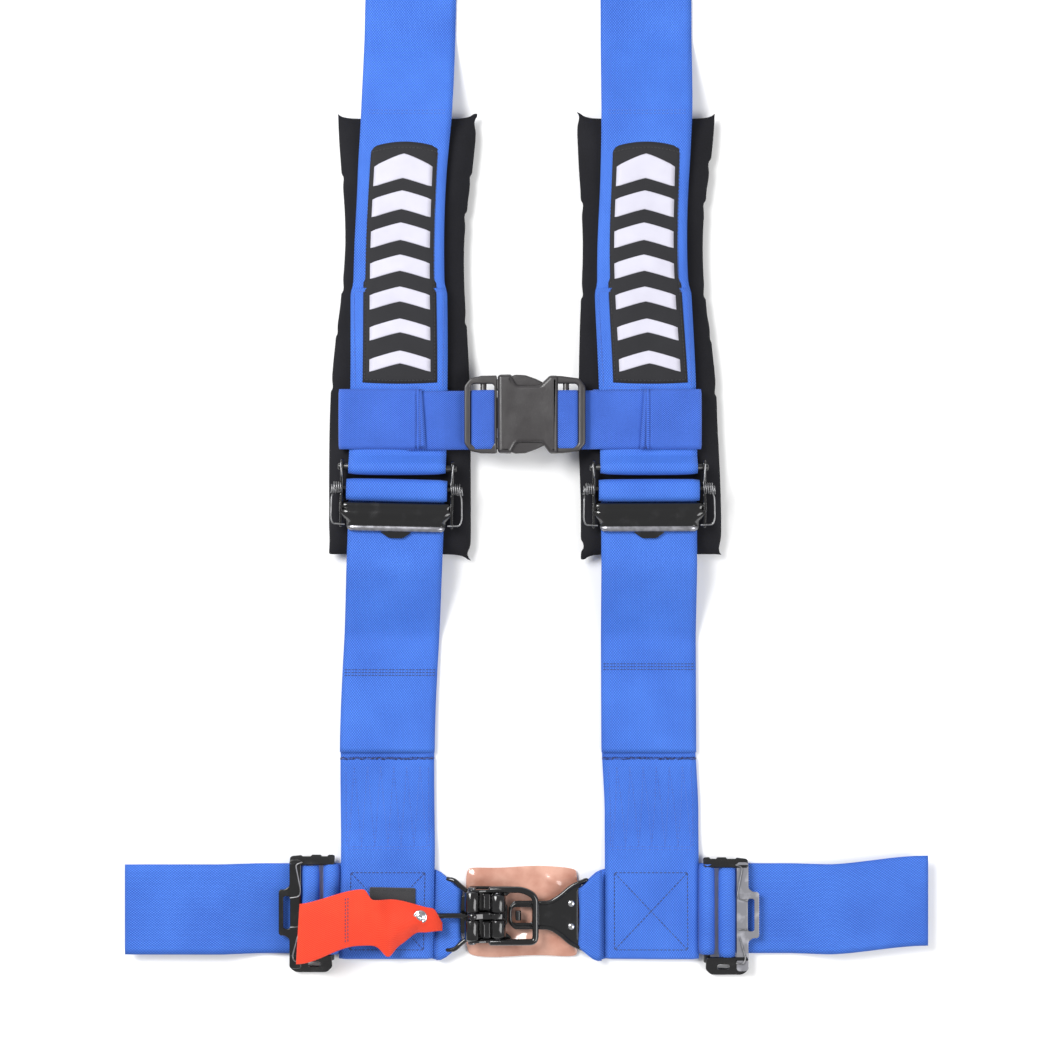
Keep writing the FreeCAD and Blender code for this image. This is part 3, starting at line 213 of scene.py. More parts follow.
def thread(name, colour):
    material = new_material(name, colour, 0.5, Sheen_Weight=0.2, Specular_IOR_Level=0.4)
    n = Nodes(material)
    n.link(n.mix(n.noise(900.0), tuple(c * 0.6 for c in colour), colour), n.shader.inputs["Base Color"])
    return material


BLUE_THREAD = thread("blue_thread", (0.05, 0.16, 0.66))
DARK_THREAD = thread("dark_thread", (0.012, 0.03, 0.13))
BLACK_THREAD = thread("black_thread", (0.012, 0.012, 0.014))


def singed_edge():
    """The melted raw end of a strap: darker, and a little glossy."""
    material = new_material("singed_webbing", (0.01, 0.02, 0.09), 0.38, Specular_IOR_Level=0.5)
    n = Nodes(material)
    lumps = n.noise(700.0, 3.0)
    n.link(n.mix(n.ramp(lumps, 0.4, 0.65), (0.006, 0.010, 0.04), (0.03, 0.09, 0.42)),
           n.shader.inputs["Base Color"])
    n.link(n.bump(lumps, 0.6, 0.5), n.shader.inputs["Normal"])
    return material


SINGED = singed_edge()


def pad_fabric():
    material = new_material("pad_fabric", (0.010, 0.010, 0.012), 0.85, Sheen_Weight=0.03, Sheen_Roughness=0.5,
                            Specular_IOR_Level=0.12)
    n = Nodes(material)
    grain = n.noise(1500.0, 2.0)
    cloud = n.noise(30.0, 4.0)
    tone = n.math("ADD", n.math("MULTIPLY", grain, 0.6), n.math("MULTIPLY", cloud, 0.4))
    n.link(n.mix(tone, (0.004, 0.004, 0.005), (0.022, 0.022, 0.027)), n.shader.inputs["Base Color"])
    n.link(n.bump(grain, 0.35, 0.3), n.shader.inputs["Normal"])
    return material


def patch_fabric(name, low, high):
    """Damask patch: very fine ribs across the patch."""
    material = new_material(name, high, 0.7, Sheen_Weight=0.1, Specular_IOR_Level=0.3)
    n = Nodes(material)
    uv = n.add("ShaderNodeUVMap", uv_map="strap")
    split = n.add("ShaderNodeSeparateXYZ")
    n.link(uv.outputs["UV"], split.inputs[0])
    rib = n.math("SINE", n.math("MULTIPLY", split.outputs[1], math.tau / (0.9 * MM)))
    cross = n.math("SINE", n.math("MULTIPLY", split.outputs[0], math.tau / (0.8 * MM)))
    weave = n.math("MULTIPLY_ADD", n.math("MULTIPLY", rib, cross), 0.5, 0.5)
    tone = n.math("ADD", n.math("MULTIPLY", weave, 0.6), n.math("MULTIPLY", n.noise(60.0, 3.0), 0.4))
    n.link(n.mix(tone, low, high), n.shader.inputs["Base Color"])
    n.link(n.bump(weave, 0.3, 0.2), n.shader.inputs["Normal"])
    return material


def coated_steel(name, colour, roughness, coat):
    """Gloss black coating on pressed steel, a little orange-peeled and rubbed."""
    material = new_material(name, colour, roughness, 0.0, Coat_Weight=coat, Coat_Roughness=0.08,
                            Specular_IOR_Level=0.3)
    n = Nodes(material)
    peel = n.noise(420.0, 2.0)
    rub = n.ramp(n.noise(90.0, 5.0), 0.52, 0.72)
    n.link(n.mix(rub, colour, tuple(c * 2 + 0.003 for c in colour)), n.shader.inputs["Base Color"])
    n.link(n.math("MULTIPLY_ADD", rub, 0.16, roughness), n.shader.inputs["Roughness"])
    n.link(n.bump(peel, 0.06, 0.25), n.shader.inputs["Normal"])
    return material


def plated_steel(name, colour, roughness):
    material = new_material(name, colour, roughness, 1.0)
    n = Nodes(material)
    haze = n.noise(240.0, 4.0)
    n.link(n.math("MULTIPLY_ADD", haze, 0.22, roughness - 0.08), n.shader.inputs["Roughness"])
    n.link(n.mix(n.ramp(haze, 0.35, 0.7), tuple(c * 0.7 for c in colour), colour),
           n.shader.inputs["Base Color"])
    n.link(n.bump(n.noise(700.0), 0.08, 0.1), n.shader.inputs["Normal"])
    return material


def moulded_plastic():
    material = new_material("black_acetal", (0.030, 0.027, 0.028), 0.34, Specular_IOR_Level=0.8)
    n = Nodes(material)
    grain = n.noise(1300.0, 2.0)
    n.link(n.math("MULTIPLY_ADD", n.noise(80.0, 3.0), 0.3, 0.2), n.shader.inputs["Roughness"])
    n.link(n.bump(grain, 0.45, 0.25), n.shader.inputs["Normal"])
    return material


def tan_vinyl():
    material = new_material("tan_vinyl", (0.68, 0.36, 0.27), 0.24, Coat_Weight=1.0, Coat_Roughness=0.07,
                            Specular_IOR_Level=0.5)
    n = Nodes(material)
    pores = n.noise(900.0, 3.0)
    cloud = n.ramp(n.noise(45.0, 4.0), 0.3, 0.7)
    n.link(n.mix(cloud, (0.44, 0.19, 0.13), (0.68, 0.38, 0.29)), n.shader.inputs["Base Color"])
    n.link(n.bump(pores, 0.08, 0.2), n.shader.inputs["Normal"])
    return material


def loop_fastener():
    """Black hook-and-loop patch: a dense fuzzy pile."""
    material = new_material("loop_pile", (0.012, 0.012, 0.014), 0.9, Sheen_Weight=0.3, Sheen_Roughness=0.6)
    n = Nodes(material)
    pile = n.noise(1900.0, 4.0, roughness=0.7)
    n.link(n.mix(pile, (0.004, 0.004, 0.005), (0.045, 0.045, 0.05)), n.shader.inputs["Base Color"])
    n.link(n.bump(pile, 0.9, 0.8), n.shader.inputs["Normal"])
    return material


PAD_BLACK = pad_fabric()
PATCH_BLACK = patch_fabric("patch_ground", (0.006, 0.006, 0.008), (0.022, 0.022, 0.026))
PATCH_PALE = patch_fabric("patch_stripe", (0.42, 0.41, 0.50), (0.72, 0.71, 0.80))
BLACK_STEEL = coated_steel("black_coated_steel", (0.004, 0.004, 0.0045), 0.16, 1.0)
# A lit copy of the black coating: its grey base colour is a painted reflection of the lamps.
GLARE_STEEL = coated_steel("sunlit_coated_steel", (0.20, 0.20, 0.22), 0.3, 0.8)
# The lip's light grey is a painted highlight: the glossy black edge's reflection of the lamps, given as pale
# metal.
LIP_HIGHLIGHT_STEEL = plated_steel("lip_painted_highlight", (0.50, 0.50, 0.54), 0.3)
BAR_STEEL = coated_steel("bar_coated_steel", (0.016, 0.016, 0.017), 0.34, 0.4)
PIN_STEEL = plated_steel("black_plated_pin", (0.16, 0.16, 0.17), 0.28)
SPRING_STEEL = plated_steel("spring_wire", (0.34, 0.34, 0.35), 0.36)
RIVET_STEEL = plated_steel("plated_rivet", (0.80, 0.80, 0.82), 0.18)
ACETAL = moulded_plastic()
VINYL = tan_vinyl()
PILE = loop_fastener()


# ---------------------------------------------------------------- meshes


def mesh_object(name, points, faces, material, uvs=None):
    """A mesh from points in millimetres."""
    mesh = bpy.data.meshes.new(name)
    mesh.from_pydata([Vector(point) * MM for point in points], [], faces)
    mesh.materials.append(material)
    if uvs is not None:
        layer = mesh.uv_layers.new(name="strap")
        for loop in mesh.loops:
            layer.data[loop.index].uv = uvs[loop.vertex_index]
    for polygon in mesh.polygons:
        polygon.use_smooth = True
    mesh.update()
    piece = bpy.data.objects.new(name, mesh)
    bpy.context.scene.collection.objects.link(piece)
    return piece


def sheet_faces(rows, columns):
    """Faces of a sheet's two layers of points, row by row, joined round the rim."""
    faces = []
    size = (rows + 1) * (columns + 1)
    for row in range(rows):
        for column in range(columns):
            a = row * (columns + 1) + column
            b = a + columns + 1
            faces.append((a, a + 1, b + 1, b))
            faces.append((size + a, size + b, size + b + 1, size + a + 1))
    rim = list(range(columns + 1))
    rim += [row * (columns + 1) + columns for row in range(1, rows + 1)]
    rim += [rows * (columns + 1) + column for column in range(columns - 1, -1, -1)]
    rim += [row * (columns + 1) for row in range(rows - 1, 0, -1)]
    for here, after in zip(rim, rim[1:] + rim[:1]):
        faces.append((here, size + here, size + after, after))
    return faces


def put_on(piece, body, slot, *nodes):
    """Finish a piece: its body and the CAD nodes it stands for. The slot argument is not used."""
    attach(piece, body)
    if nodes:
        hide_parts(*nodes)
    return piece


def heading_between(first, last):
    run_x = last[0] - first[0]
    run_y = last[1] - first[1]
    lean = math.asin((last[2] - first[2]) / math.hypot(run_x, run_y))
    return math.atan2(run_y, run_x) - lean


def touch(disc, heading):
    x, y, radius = disc
    return (x + radius * math.sin(heading), y - radius * math.cos(heading))


def pulled_past(discs, step=4.0, arc_step=0.16):
    """Points along a string pulled past discs (x, y, radius); a positive radius turns it left."""
    headings = [heading_between(disc, other) for disc, other in zip(discs, discs[1:])]
    points = [touch(discs[0], headings[0])]
    for index, heading in enumerate(headings):
        start = points[-1]
        end = touch(discs[index + 1], heading)
        count = max(1, round(math.dist(start, end) / step))
        for number in range(1, count + 1):
            share = number / count
            points.append((start[0] + (end[0] - start[0]) * share, start[1] + (end[1] - start[1]) * share))
        if index + 1 < len(headings):
            disc = discs[index + 1]
            turn = headings[index + 1] - heading
            sweep = turn % math.tau if disc[2] > 0 else -((-turn) % math.tau)
            if min(abs(sweep), math.tau - abs(sweep)) < 1e-6:
                continue
            count = max(1, math.ceil(abs(sweep) / arc_step))
            points.extend(touch(disc, heading + sweep * number / count) for number in range(1, count + 1))
    return points


class Strap:
    """A band of webbing along a 3-D middle line.

    line: points in millimetres. across: unit vector over the width, the same all along.
    width: millimetres, or a function of the point. lift: extra height over the width, lift(point, v).
    """

    COLUMNS = 14

    def __init__(self, line, across, width, lift=None, thickness=THICK):
        self.line = [Vector(point) for point in line]
        self.across = Vector(across).normalized()
        self.width = width if callable(width) else (lambda point: width)
        self.lift = lift or (lambda point, v: 0.0)
        self.thickness = thickness
        self.along = [0.0]
        for first, last in zip(self.line, self.line[1:]):
            self.along.append(self.along[-1] + (last - first).length)
        self.length = self.along[-1]
        self.normals = []
        for index in range(len(self.line)):
            before = self.line[max(index - 1, 0)]
            after = self.line[min(index + 1, len(self.line) - 1)]
            self.normals.append((after - before).cross(self.across).normalized())

    def spot(self, index, v, height):
        """A point of the cross-section: v from -1 to 1 over the width."""
        point = self.line[index]
        side = self.across * (v * self.width(point) / 2)
        return point + side + self.normals[index] * (height + self.lift(point, v))

    def surface(self, distance, v, height=0.0):
        """A point on the upper face, raised by height, at a distance along the strap, with its normal."""
        distance = min(max(distance, 0.0), self.length)
        index = 0
        while index < len(self.line) - 2 and self.along[index + 1] < distance:
            index += 1
        share = (distance - self.along[index]) / (self.along[index + 1] - self.along[index])
        face = 1 if self.normals[index].z > 0 else -1
        first = self.spot(index, v, face * (self.thickness / 2 + height))
        last = self.spot(index + 1, v, face * (self.thickness / 2 + height))
        normal = self.normals[index].lerp(self.normals[index + 1], share).normalized()
        return first.lerp(last, share), normal * face

    def nearest(self, axis, place):
        """Distance along the strap at which its middle passes a place on an axis, on the top layer."""
        crossings = []
        for index, (first, last) in enumerate(zip(self.line, self.line[1:])):
            low, high = sorted((first[axis], last[axis]))
            if low <= place <= high and high > low:
                share = (place - first[axis]) / (last[axis] - first[axis])
                crossings.append((first.lerp(last, share).z,
                                  self.along[index] + share * (last - first).length))
        return max(crossings)[1]

    def mesh(self, name, material):
        """The closed band, with a UV map in metres: x over the width, y along."""
        columns = [2 * number / self.COLUMNS - 1 for number in range(self.COLUMNS + 1)]
        ring = [(v, 1) for v in columns] + [(v, -1) for v in reversed(columns)]
        points, uvs, faces = [], [], []
        for index, point in enumerate(self.line):
            half_width = self.width(point) / 2
            for v, face in ring:
                edge = 0.42 if abs(v) == 1 else 1.0
                points.append(self.spot(index, v, face * edge * self.thickness / 2))
                uvs.append((v * half_width * MM, self.along[index] * MM))
        size = len(ring)
        for index in range(len(self.line) - 1):
            for number in range(size):
                after = (number + 1) % size
                a, b = index * size, (index + 1) * size
                faces.append((a + number, b + number, b + after, a + after))
        last = (len(self.line) - 1) * size
        for number in range(self.COLUMNS):
            mirror = size - 1 - number
            faces.append((number, number + 1, mirror - 1, mirror))
            faces.append((last + number + 1, last + number, last + mirror, last + mirror - 1))
        piece = mesh_object(name, points, faces, material, uvs)
        turn_outwards(piece.data)
        return piece


def turn_outwards(mesh):
    form = bmesh.new()
    form.from_mesh(mesh)
    bmesh.ops.recalc_face_normals(form, faces=form.faces)
    form.to_mesh(mesh)
    form.free()


SEAM_PITCH = 3.2


class Stitches:
    """Rows of stitches gathered into one mesh: each is a short rounded bar of thread."""

    def __init__(self, thickness=0.75):
        self.half = thickness / 2
        self.points = []
        self.faces = []

    def seam(self, count, place, gap=0.15):
        """A row of stitches facing up, where place gives the point at each share of the row."""
        for number in range(count):
            self.stitch(place((number + gap) / count), place((number + (1 - gap)) / count), Vector((0, 0, 1)))

    def stitch(self, start, end, normal):
        run = end - start
        side = run.cross(normal).normalized() * self.half
        up = normal * self.half
        rings = ((0.0, 0.35, 0.1), (0.2, 0.95, 0.8), (0.5, 1.0, 1.0), (0.8, 0.95, 0.8), (1.0, 0.35, 0.1))
        base = len(self.points)
        for share, wide, high in rings:
            centre = start + run * share
            for a, b in ((-1, -0.2), (-0.6, 0.8), (0.6, 0.8), (1, -0.2)):
                self.points.append(centre + side * a * wide + up * b * high)
        for ring in range(len(rings) - 1):
            for number in range(4):
                after = (number + 1) % 4
                first = base + ring * 4
                self.faces.append((first + number, first + after, first + 4 + after, first + 4 + number))
        self.faces.append(tuple(base + number for number in (3, 2, 1, 0)))
        top = base + (len(rings) - 1) * 4
        self.faces.append(tuple(top + number for number in range(4)))

    def row(self, strap, start, end, pitch=3.4, fill=0.78, height=0.05):
        """Stitches on a strap's face between two (distance, v) spots."""
        first, _ = strap.surface(*start)
        last, _ = strap.surface(*end)
        count = max(1, round((last - first).length / pitch))
        for number in range(count):
            ends = []
            for share in ((number + (1 - fill) / 2) / count, (number + (1 + fill) / 2) / count):
                distance = start[0] + (end[0] - start[0]) * share
                v = start[1] + (end[1] - start[1]) * share
                spot, normal = strap.surface(distance, v, height)
                ends.append(spot)
            self.stitch(ends[0], ends[1], normal)

    def loop(self, strap, corners):
        for start, end in zip(corners, corners[1:] + corners[:1]):
            self.row(strap, start, end)

    def mesh(self, name, material):
        piece = mesh_object(name, self.points, self.faces, material)
        turn_outwards(piece.data)
        return piece


def finish_cad(node, material, bevel_mm=0.0, segments=2):
    """A CAD node that stays: its own material and softly rounded edges."""
    piece = frame["nodes"][node]
    for index in range(len(piece.data.materials)):
        piece.material_slots[index].material = material
    if bevel_mm:
        weld = piece.modifiers.new("weld", "WELD")
        weld.merge_threshold = 0.00001
        bevel = piece.modifiers.new("bevel", "BEVEL")
        bevel.width = bevel_mm * MM
        bevel.segments = segments
        bevel.limit_method = "ANGLE"
        bevel.angle_limit = math.radians(35)
        bevel.use_clamp_overlap = True
        smooth_normals = piece.modifiers.new("normals", "WEIGHTED_NORMAL")
        smooth_normals.keep_sharp = False
    return piece


def rounded(corners, steps=6):
    """An outline from corners (x, y, radius), each rounded by an arc of that radius."""
    outline = []
    count = len(corners)
    for index, (x, y, radius) in enumerate(corners):
        here = Vector((x, y))
        before = (Vector(corners[index - 1][:2]) - here)
        after = (Vector(corners[(index + 1) % count][:2]) - here)
        if radius <= 0:
            outline.append((x, y))
            continue
        half = before.angle(after) / 2
        reach = min(radius / math.tan(half), before.length * 0.49, after.length * 0.49)
        true_radius = reach * math.tan(half)
        a, b = before.normalized(), after.normalized()
        centre = here + (a + b).normalized() * (true_radius / math.sin(half))
        start = (here + a * reach) - centre
        turn = start.angle_signed((here + b * reach) - centre)
        for step in range(steps + 1):
            angle = -turn * step / steps
            outline.append((centre.x + start.x * math.cos(angle) - start.y * math.sin(angle),
                            centre.y + start.x * math.sin(angle) + start.y * math.cos(angle)))
    return outline


FLAT = Matrix.Identity(4)


def pressed(name, outlines, low, high, bevel, material, lie=FLAT, steps=3):
    """A plate between two depths from a closed outline and its holes, with rounded edges."""
    curve = bpy.data.curves.new(name, "CURVE")
    curve.dimensions = "2D"
    curve.fill_mode = "BOTH"
    curve.extrude = (high - low) / 2 - bevel
    curve.bevel_depth = bevel
    curve.bevel_resolution = steps
    curve.offset = -bevel
    for outline in outlines:
        spline = curve.splines.new("POLY")
        spline.points.add(len(outline) - 1)
        for point, (x, y) in zip(spline.points, outline):
            point.co = (x, y, 0, 1)
        spline.use_cyclic_u = True
    holder = bpy.data.objects.new(name + "_outline", curve)
    mesh = bpy.data.meshes.new_from_object(holder)
    bpy.data.objects.remove(holder)
    mesh.name = name
    mesh.transform(Matrix.Scale(MM, 4) @ lie @ Matrix.Translation((0, 0, (low + high) / 2)))
    form = bmesh.new()
    form.from_mesh(mesh)
    bmesh.ops.remove_doubles(form, verts=form.verts, dist=0.00002)
    bmesh.ops.recalc_face_normals(form, faces=form.faces)
    form.to_mesh(mesh)
    form.free()
    mesh.materials.clear()
    mesh.materials.append(material)
    mesh.shade_smooth()
    mesh.set_sharp_from_angle(angle=math.radians(50))
    piece = bpy.data.objects.new(name, mesh)
    bpy.context.scene.collection.objects.link(piece)
    return piece


def tube_faces(rings, steps):
    """Faces round a tube whose rings of points follow one another, with both ends closed."""
    faces = []
    for ring in range(rings - 1):
        here, there = ring * steps, (ring + 1) * steps
        for step in range(steps):
            after = (step + 1) % steps
            faces.append((here + step, here + after, there + after, there + step))
    faces.append(tuple(reversed(range(steps))))
    faces.append(tuple((rings - 1) * steps + step for step in range(steps)))
    return faces


def wire(name, points, radius, material, steps=10):
    """A round wire through points, its ends rounded off."""
    points = [Vector(point) for point in points]
    last = len(points) - 1
    rings = []
    side = None
    shares = [(0, 0.45, -0.75), (0, 0.85, -0.4)] + [(index, 1.0, 0.0) for index in range(last + 1)]
    shares += [(last, 0.85, 0.4), (last, 0.45, 0.75)]
    for index, wide, push in shares:
        run = (points[min(index + 1, last)] - points[max(index - 1, 0)]).normalized()
        if side is None:
            side = run.orthogonal().normalized()
        side = (side - run * side.dot(run)).normalized()
        up = run.cross(side)
        for step in range(steps):
            angle = math.tau * step / steps
            spoke = (side * math.cos(angle) + up * math.sin(angle)) * radius * wide
            rings.append(points[index] + run * push * radius + spoke)
    piece = mesh_object(name, rings, tube_faces(len(shares), steps), material)
    turn_outwards(piece.data)
    return piece


def bent(points, radius, steps=5):
    """Points of a wire's path with its inner corners rounded."""
    points = [Vector(point) for point in points]
    path = [points[0]]
    for before, here, after in zip(points, points[1:], points[2:]):
        reach = min(radius, (before - here).length * 0.45, (after - here).length * 0.45)
        start = here + (before - here).normalized() * reach
        end = here + (after - here).normalized() * reach
        for step in range(steps + 1):
            share = step / steps
            path.append(start.lerp(here, share).lerp(here.lerp(end, share), share))
    return path + [points[-1]]


def turned(name, profile, centre, axis, material, steps=32):
    """A turned piece: profile of (distance along the axis, radius) about a centre."""
    axis = Vector(axis).normalized()
    side = axis.orthogonal().normalized()
    up = axis.cross(side)
    centre = Vector(centre)
    points = []
    for distance, radius in profile:
        for step in range(steps):
            angle = math.tau * step / steps
            spoke = side * math.cos(angle) + up * math.sin(angle)
            points.append(centre + axis * distance + spoke * max(radius, 0.02))
    piece = mesh_object(name, points, tube_faces(len(profile), steps), material)
    turn_outwards(piece.data)
    piece.data.set_sharp_from_angle(angle=math.radians(50))
    return piece


def joined(name, *parts):
    """Several meshes made into one piece, each keeping its own material."""
    form = bmesh.new()
    mesh = bpy.data.meshes.new(name)
    for part in parts:
        shift = len(mesh.materials)
        for material in part.data.materials:
            mesh.materials.append(material)
        before = len(form.faces)
        form.from_mesh(part.data)
        form.faces.ensure_lookup_table()
        for face in form.faces[before:]:
            face.material_index += shift
        bpy.data.objects.remove(part)
    form.to_mesh(mesh)
    form.free()
    piece = bpy.data.objects.new(name, mesh)
    bpy.context.scene.collection.objects.link(piece)
    return piece


def coil(centre, axis, radius, pitch, turns, first=0.0, steps=16):
    """Points of a helix about an axis from a centre."""
    axis = Vector(axis).normalized()
    side = Vector((0, 1, 0))
    up = axis.cross(side)
    points = []
    for step in range(round(turns * steps) + 1):
        angle = first + math.tau * step / steps
        spoke = side * math.cos(angle) + up * math.sin(angle)
        points.append(Vector(centre) + axis * (pitch * step / steps) + spoke * radius)
    return points


# ---------------------------------------------------------------- shoulder belts


def bulge(value, centre, spread):
    return math.exp(-((value - centre) / spread) ** 2)


def sway(side_name, height):
    """How far a shoulder strap's middle wanders sideways at a height above the lap line."""
    if side_name == "left":
        return (1.5 * smooth((height - 620) / 60) - 2.6 * bulge(height, 560, 80)
                - 4.5 * bulge(height, 150, 110) - 1.5 * smooth((60 - height) / 80))
    return -4.9 * bulge(height, 550, 85) + 2.2 * smooth((140 - height) / 60)


def strap_x(side_name, height):
    side = SIDES[side_name]
    return side["strap_x"] + (height - side["adjuster_h"]) * math.tan(side["slant"]) + sway(side_name, height)


def shoulder_line(side_name, discs, step=4.0):
    """Lift a side view (height above the lap line, z) to points in space."""
    return [(strap_x(side_name, height), LAP_Y + height, z) for height, z in pulled_past(discs, step)]


def over_pad(point, v):
    """A strap on a pad dips a little at its edges."""
    return -0.9 * smooth((point.z - 12) / 10) * abs(v) ** 3


def shoulder_belts(name):
    """The belt below the adjuster, its loose tail, and the belt above it, in webbing."""
    adjuster = SIDES[name]["adjuster_h"]
    seed = 1.0 if name == "left" else 2.3
    start = adjuster - 24.8
    lower = [
        (start, DECK_LAYER, 0),
        (294, DECK_LAYER - BEND, BEND),
        (226, FLOOR_LAYER + BEND, -BEND),
        (-40, FLOOR_LAYER + LAYER, -LAYER),
        (48, FLOOR_LAYER + 2 * LAYER - 10, -10),
        (66, FLOOR_LAYER + LAYER + 10, 10),
        (127, FLOOR_LAYER + LAYER, 0),
    ]
    across = (1, 0, 0)
    blend = {
        "start": Vector((strap_x(name, start), LAP_Y + start - 45, DECK_Z)) * MM,
        "end": Vector((strap_x(name, start), LAP_Y + start, DECK_Z)) * MM,
    }

    def ripple(point, v):
        """Slack: the folded end bellies out, and the faces aren't quite flat."""
        height = point.y - LAP_Y
        wave = 0.35 * math.sin(height / 37 + seed) * math.cos(1.7 * v + seed)
        return wave * smooth((250 - height) / 80) * smooth((point.z - 2.5) / 2)

    lower_strap = Strap(shoulder_line(name, lower), across, 79.5, ripple)
    for point in lower_strap.line:
        if point.y < LAP_Y - 36:
            point.y -= 0.6
    piece = lower_strap.mesh(name + "_lower_shoulder_webbing", BLUE)
    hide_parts(name + "_lower_shoulder_strap")
    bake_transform(piece)

    tail = [
        (start, DECK_LAYER + LAYER, 0),
        (294, DECK_LAYER - BEND, BEND + LAYER),
        (226, FLOOR_LAYER + BEND, LAYER - BEND),
        (132, FLOOR_LAYER + LAYER + 0.9, 0),
    ]
    tail_strap = Strap(shoulder_line(name, tail), across, 80.5)
    piece = tail_strap.mesh(name + "_shoulder_tail_webbing", BLUE)
    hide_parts(name + "_shoulder_tail")
    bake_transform(piece)

    upper = [
        (524, DECK_LAYER + LAYER, 0),
        (adjuster + 13, DECK_LAYER + LAYER + 6, -6),
        (adjuster, DECK_Z + BAR_HEIGHT, BAR_LOOP),
        (670, DECK_LAYER - BEND, -BEND),
        (742, FLOOR_LAYER + BEND, BEND),
        (829, FLOOR_LAYER + BEND, BEND),
        (844, 4.9, 3.7),
        (831, FLOOR_LAYER + LAYER + 8, -8),
        (815, FLOOR_LAYER + LAYER + 4, -4),
        (800, 6.0, 5.5),
        (785, FLOOR_LAYER + LAYER + 4, -4),
        (776, FLOOR_LAYER + LAYER, 0),
    ]

    def upper_width(point):
        height = point.y - LAP_Y
        return 77.2 + 4.4 * smooth((530 - height) / 12) - 3.0 * bulge(height, 600, 60)

    def upper_lift(point, v):
        """The doubled belt wrinkles where it leaves the adjuster."""
        height = point.y - LAP_Y
        crease = 1.5 * bulge(height, 388 + 3 * v, 5) * smooth((0.3 - v) / 0.8) if point.z > 24 else 0.0
        return over_pad(point, v) + crease

    upper_strap = Strap(shoulder_line(name, upper), across, upper_width, upper_lift)
    put_on(upper_strap.mesh(name + "_upper_shoulder_webbing", BLUE), "root", "webbing",
           name + "_upper_shoulder_strap")
    return lower_strap, tail_strap, upper_strap


def shoulder_stitching(name, lower_strap, tail_strap, upper_strap):
    """Hems, bar tacks and the box stitch that holds the belt round the lap belt."""
    def at(strap, height):
        return strap.nearest(1, LAP_Y + height)

    sewn = Stitches()
    head = at(upper_strap, 671)
    for shift in (0.0, 2.6):
        sewn.row(upper_strap, (head + shift, -0.86), (head + shift, 0.86))
    foot = at(upper_strap, 441)
    for shift in (0.0, 2.4):
        sewn.row(upper_strap, (foot + shift, -0.82), (foot + shift, 0.82))
    for v in (-0.93, 0.93):
        sewn.row(upper_strap, (at(upper_strap, 520), v), (foot, v * 0.97))
    step = at(upper_strap, 521)
    sewn.row(upper_strap, (step, -0.92), (step, 0.92))
    put_on(sewn.mesh(name + "_upper_belt_stitches", BLUE_THREAD), "root", "webbing")

    sewn = Stitches()
    hem = at(tail_strap, 207 if name == "right" else 202)
    for shift in (0.0, 2.4, 4.8):
        sewn.row(tail_strap, (hem + shift, -0.96), (hem + shift, 0.96), pitch=2.9)
    put_on(sewn.mesh(name + "_tail_hem_stitches", DARK_THREAD), "root", "webbing")

    faint = Stitches(0.62)
    top, bottom = at(lower_strap, 120), at(lower_strap, 52)
    columns = 6
    for column in range(columns):
        left_v = -0.84 + 1.68 * column / columns
        right_v = left_v + 1.68 / columns
        peak = (left_v + right_v) / 2
        faint.row(lower_strap, (bottom, left_v), (top, peak), pitch=3.0)
        faint.row(lower_strap, (top, peak), (bottom, right_v), pitch=3.0)
    faint.row(lower_strap, (bottom, -0.86), (bottom, 0.86))
    faint.row(lower_strap, (bottom - 2.4, -0.86), (bottom - 2.4, 0.86))
    for v in (-0.88, 0.88):
        faint.row(lower_strap, (bottom, v), (top, v))
    put_on(faint.mesh(name + "_tack_stitches", BLUE_THREAD), "root", "webbing")

    box = Stitches()
    near, far = at(lower_strap, -36), at(lower_strap, 30)
    left_v, right_v = (-0.80, 0.76) if name == "right" else (-0.78, 0.80)
    corners = [(near, left_v), (near, right_v), (far, right_v), (far, left_v)]
    box.loop(lower_strap, corners)
    box.row(lower_strap, corners[0], corners[2])
    box.row(lower_strap, corners[1], corners[3])
    put_on(box.mesh(name + "_box_stitches", DARK_THREAD), "root", "webbing")

    rng = random.Random(7 if name == "left" else 11)
    end = lower_strap.length - 0.4
    rim = []
    lumps, edge_v = 60, 0.985
    for number in range(lumps):
        v = -edge_v + 2 * edge_v * number / (lumps - 1)
        spot, _ = lower_strap.surface(end, v, -0.75)
        rim.append(spot + Vector((0, 0.5 * rng.uniform(-1, 1), 0.35 * rng.uniform(-1, 1))))
    put_on(wire(name + "_melted_end", rim, 1.15, SINGED, steps=8), "root", "webbing")


# ---------------------------------------------------------------- lap belts


def flank(name):
    """Sign of a side, and where its adjuster and latch hold the lap belt, as distances from the middle."""
    sign = SIDES[name]["sign"]
    return sign, (165.8, 63.5, 6.5, 77.0, -8.0) if name == "left" else (153.0, 50.0, 10.1, 64.0, 8.0)


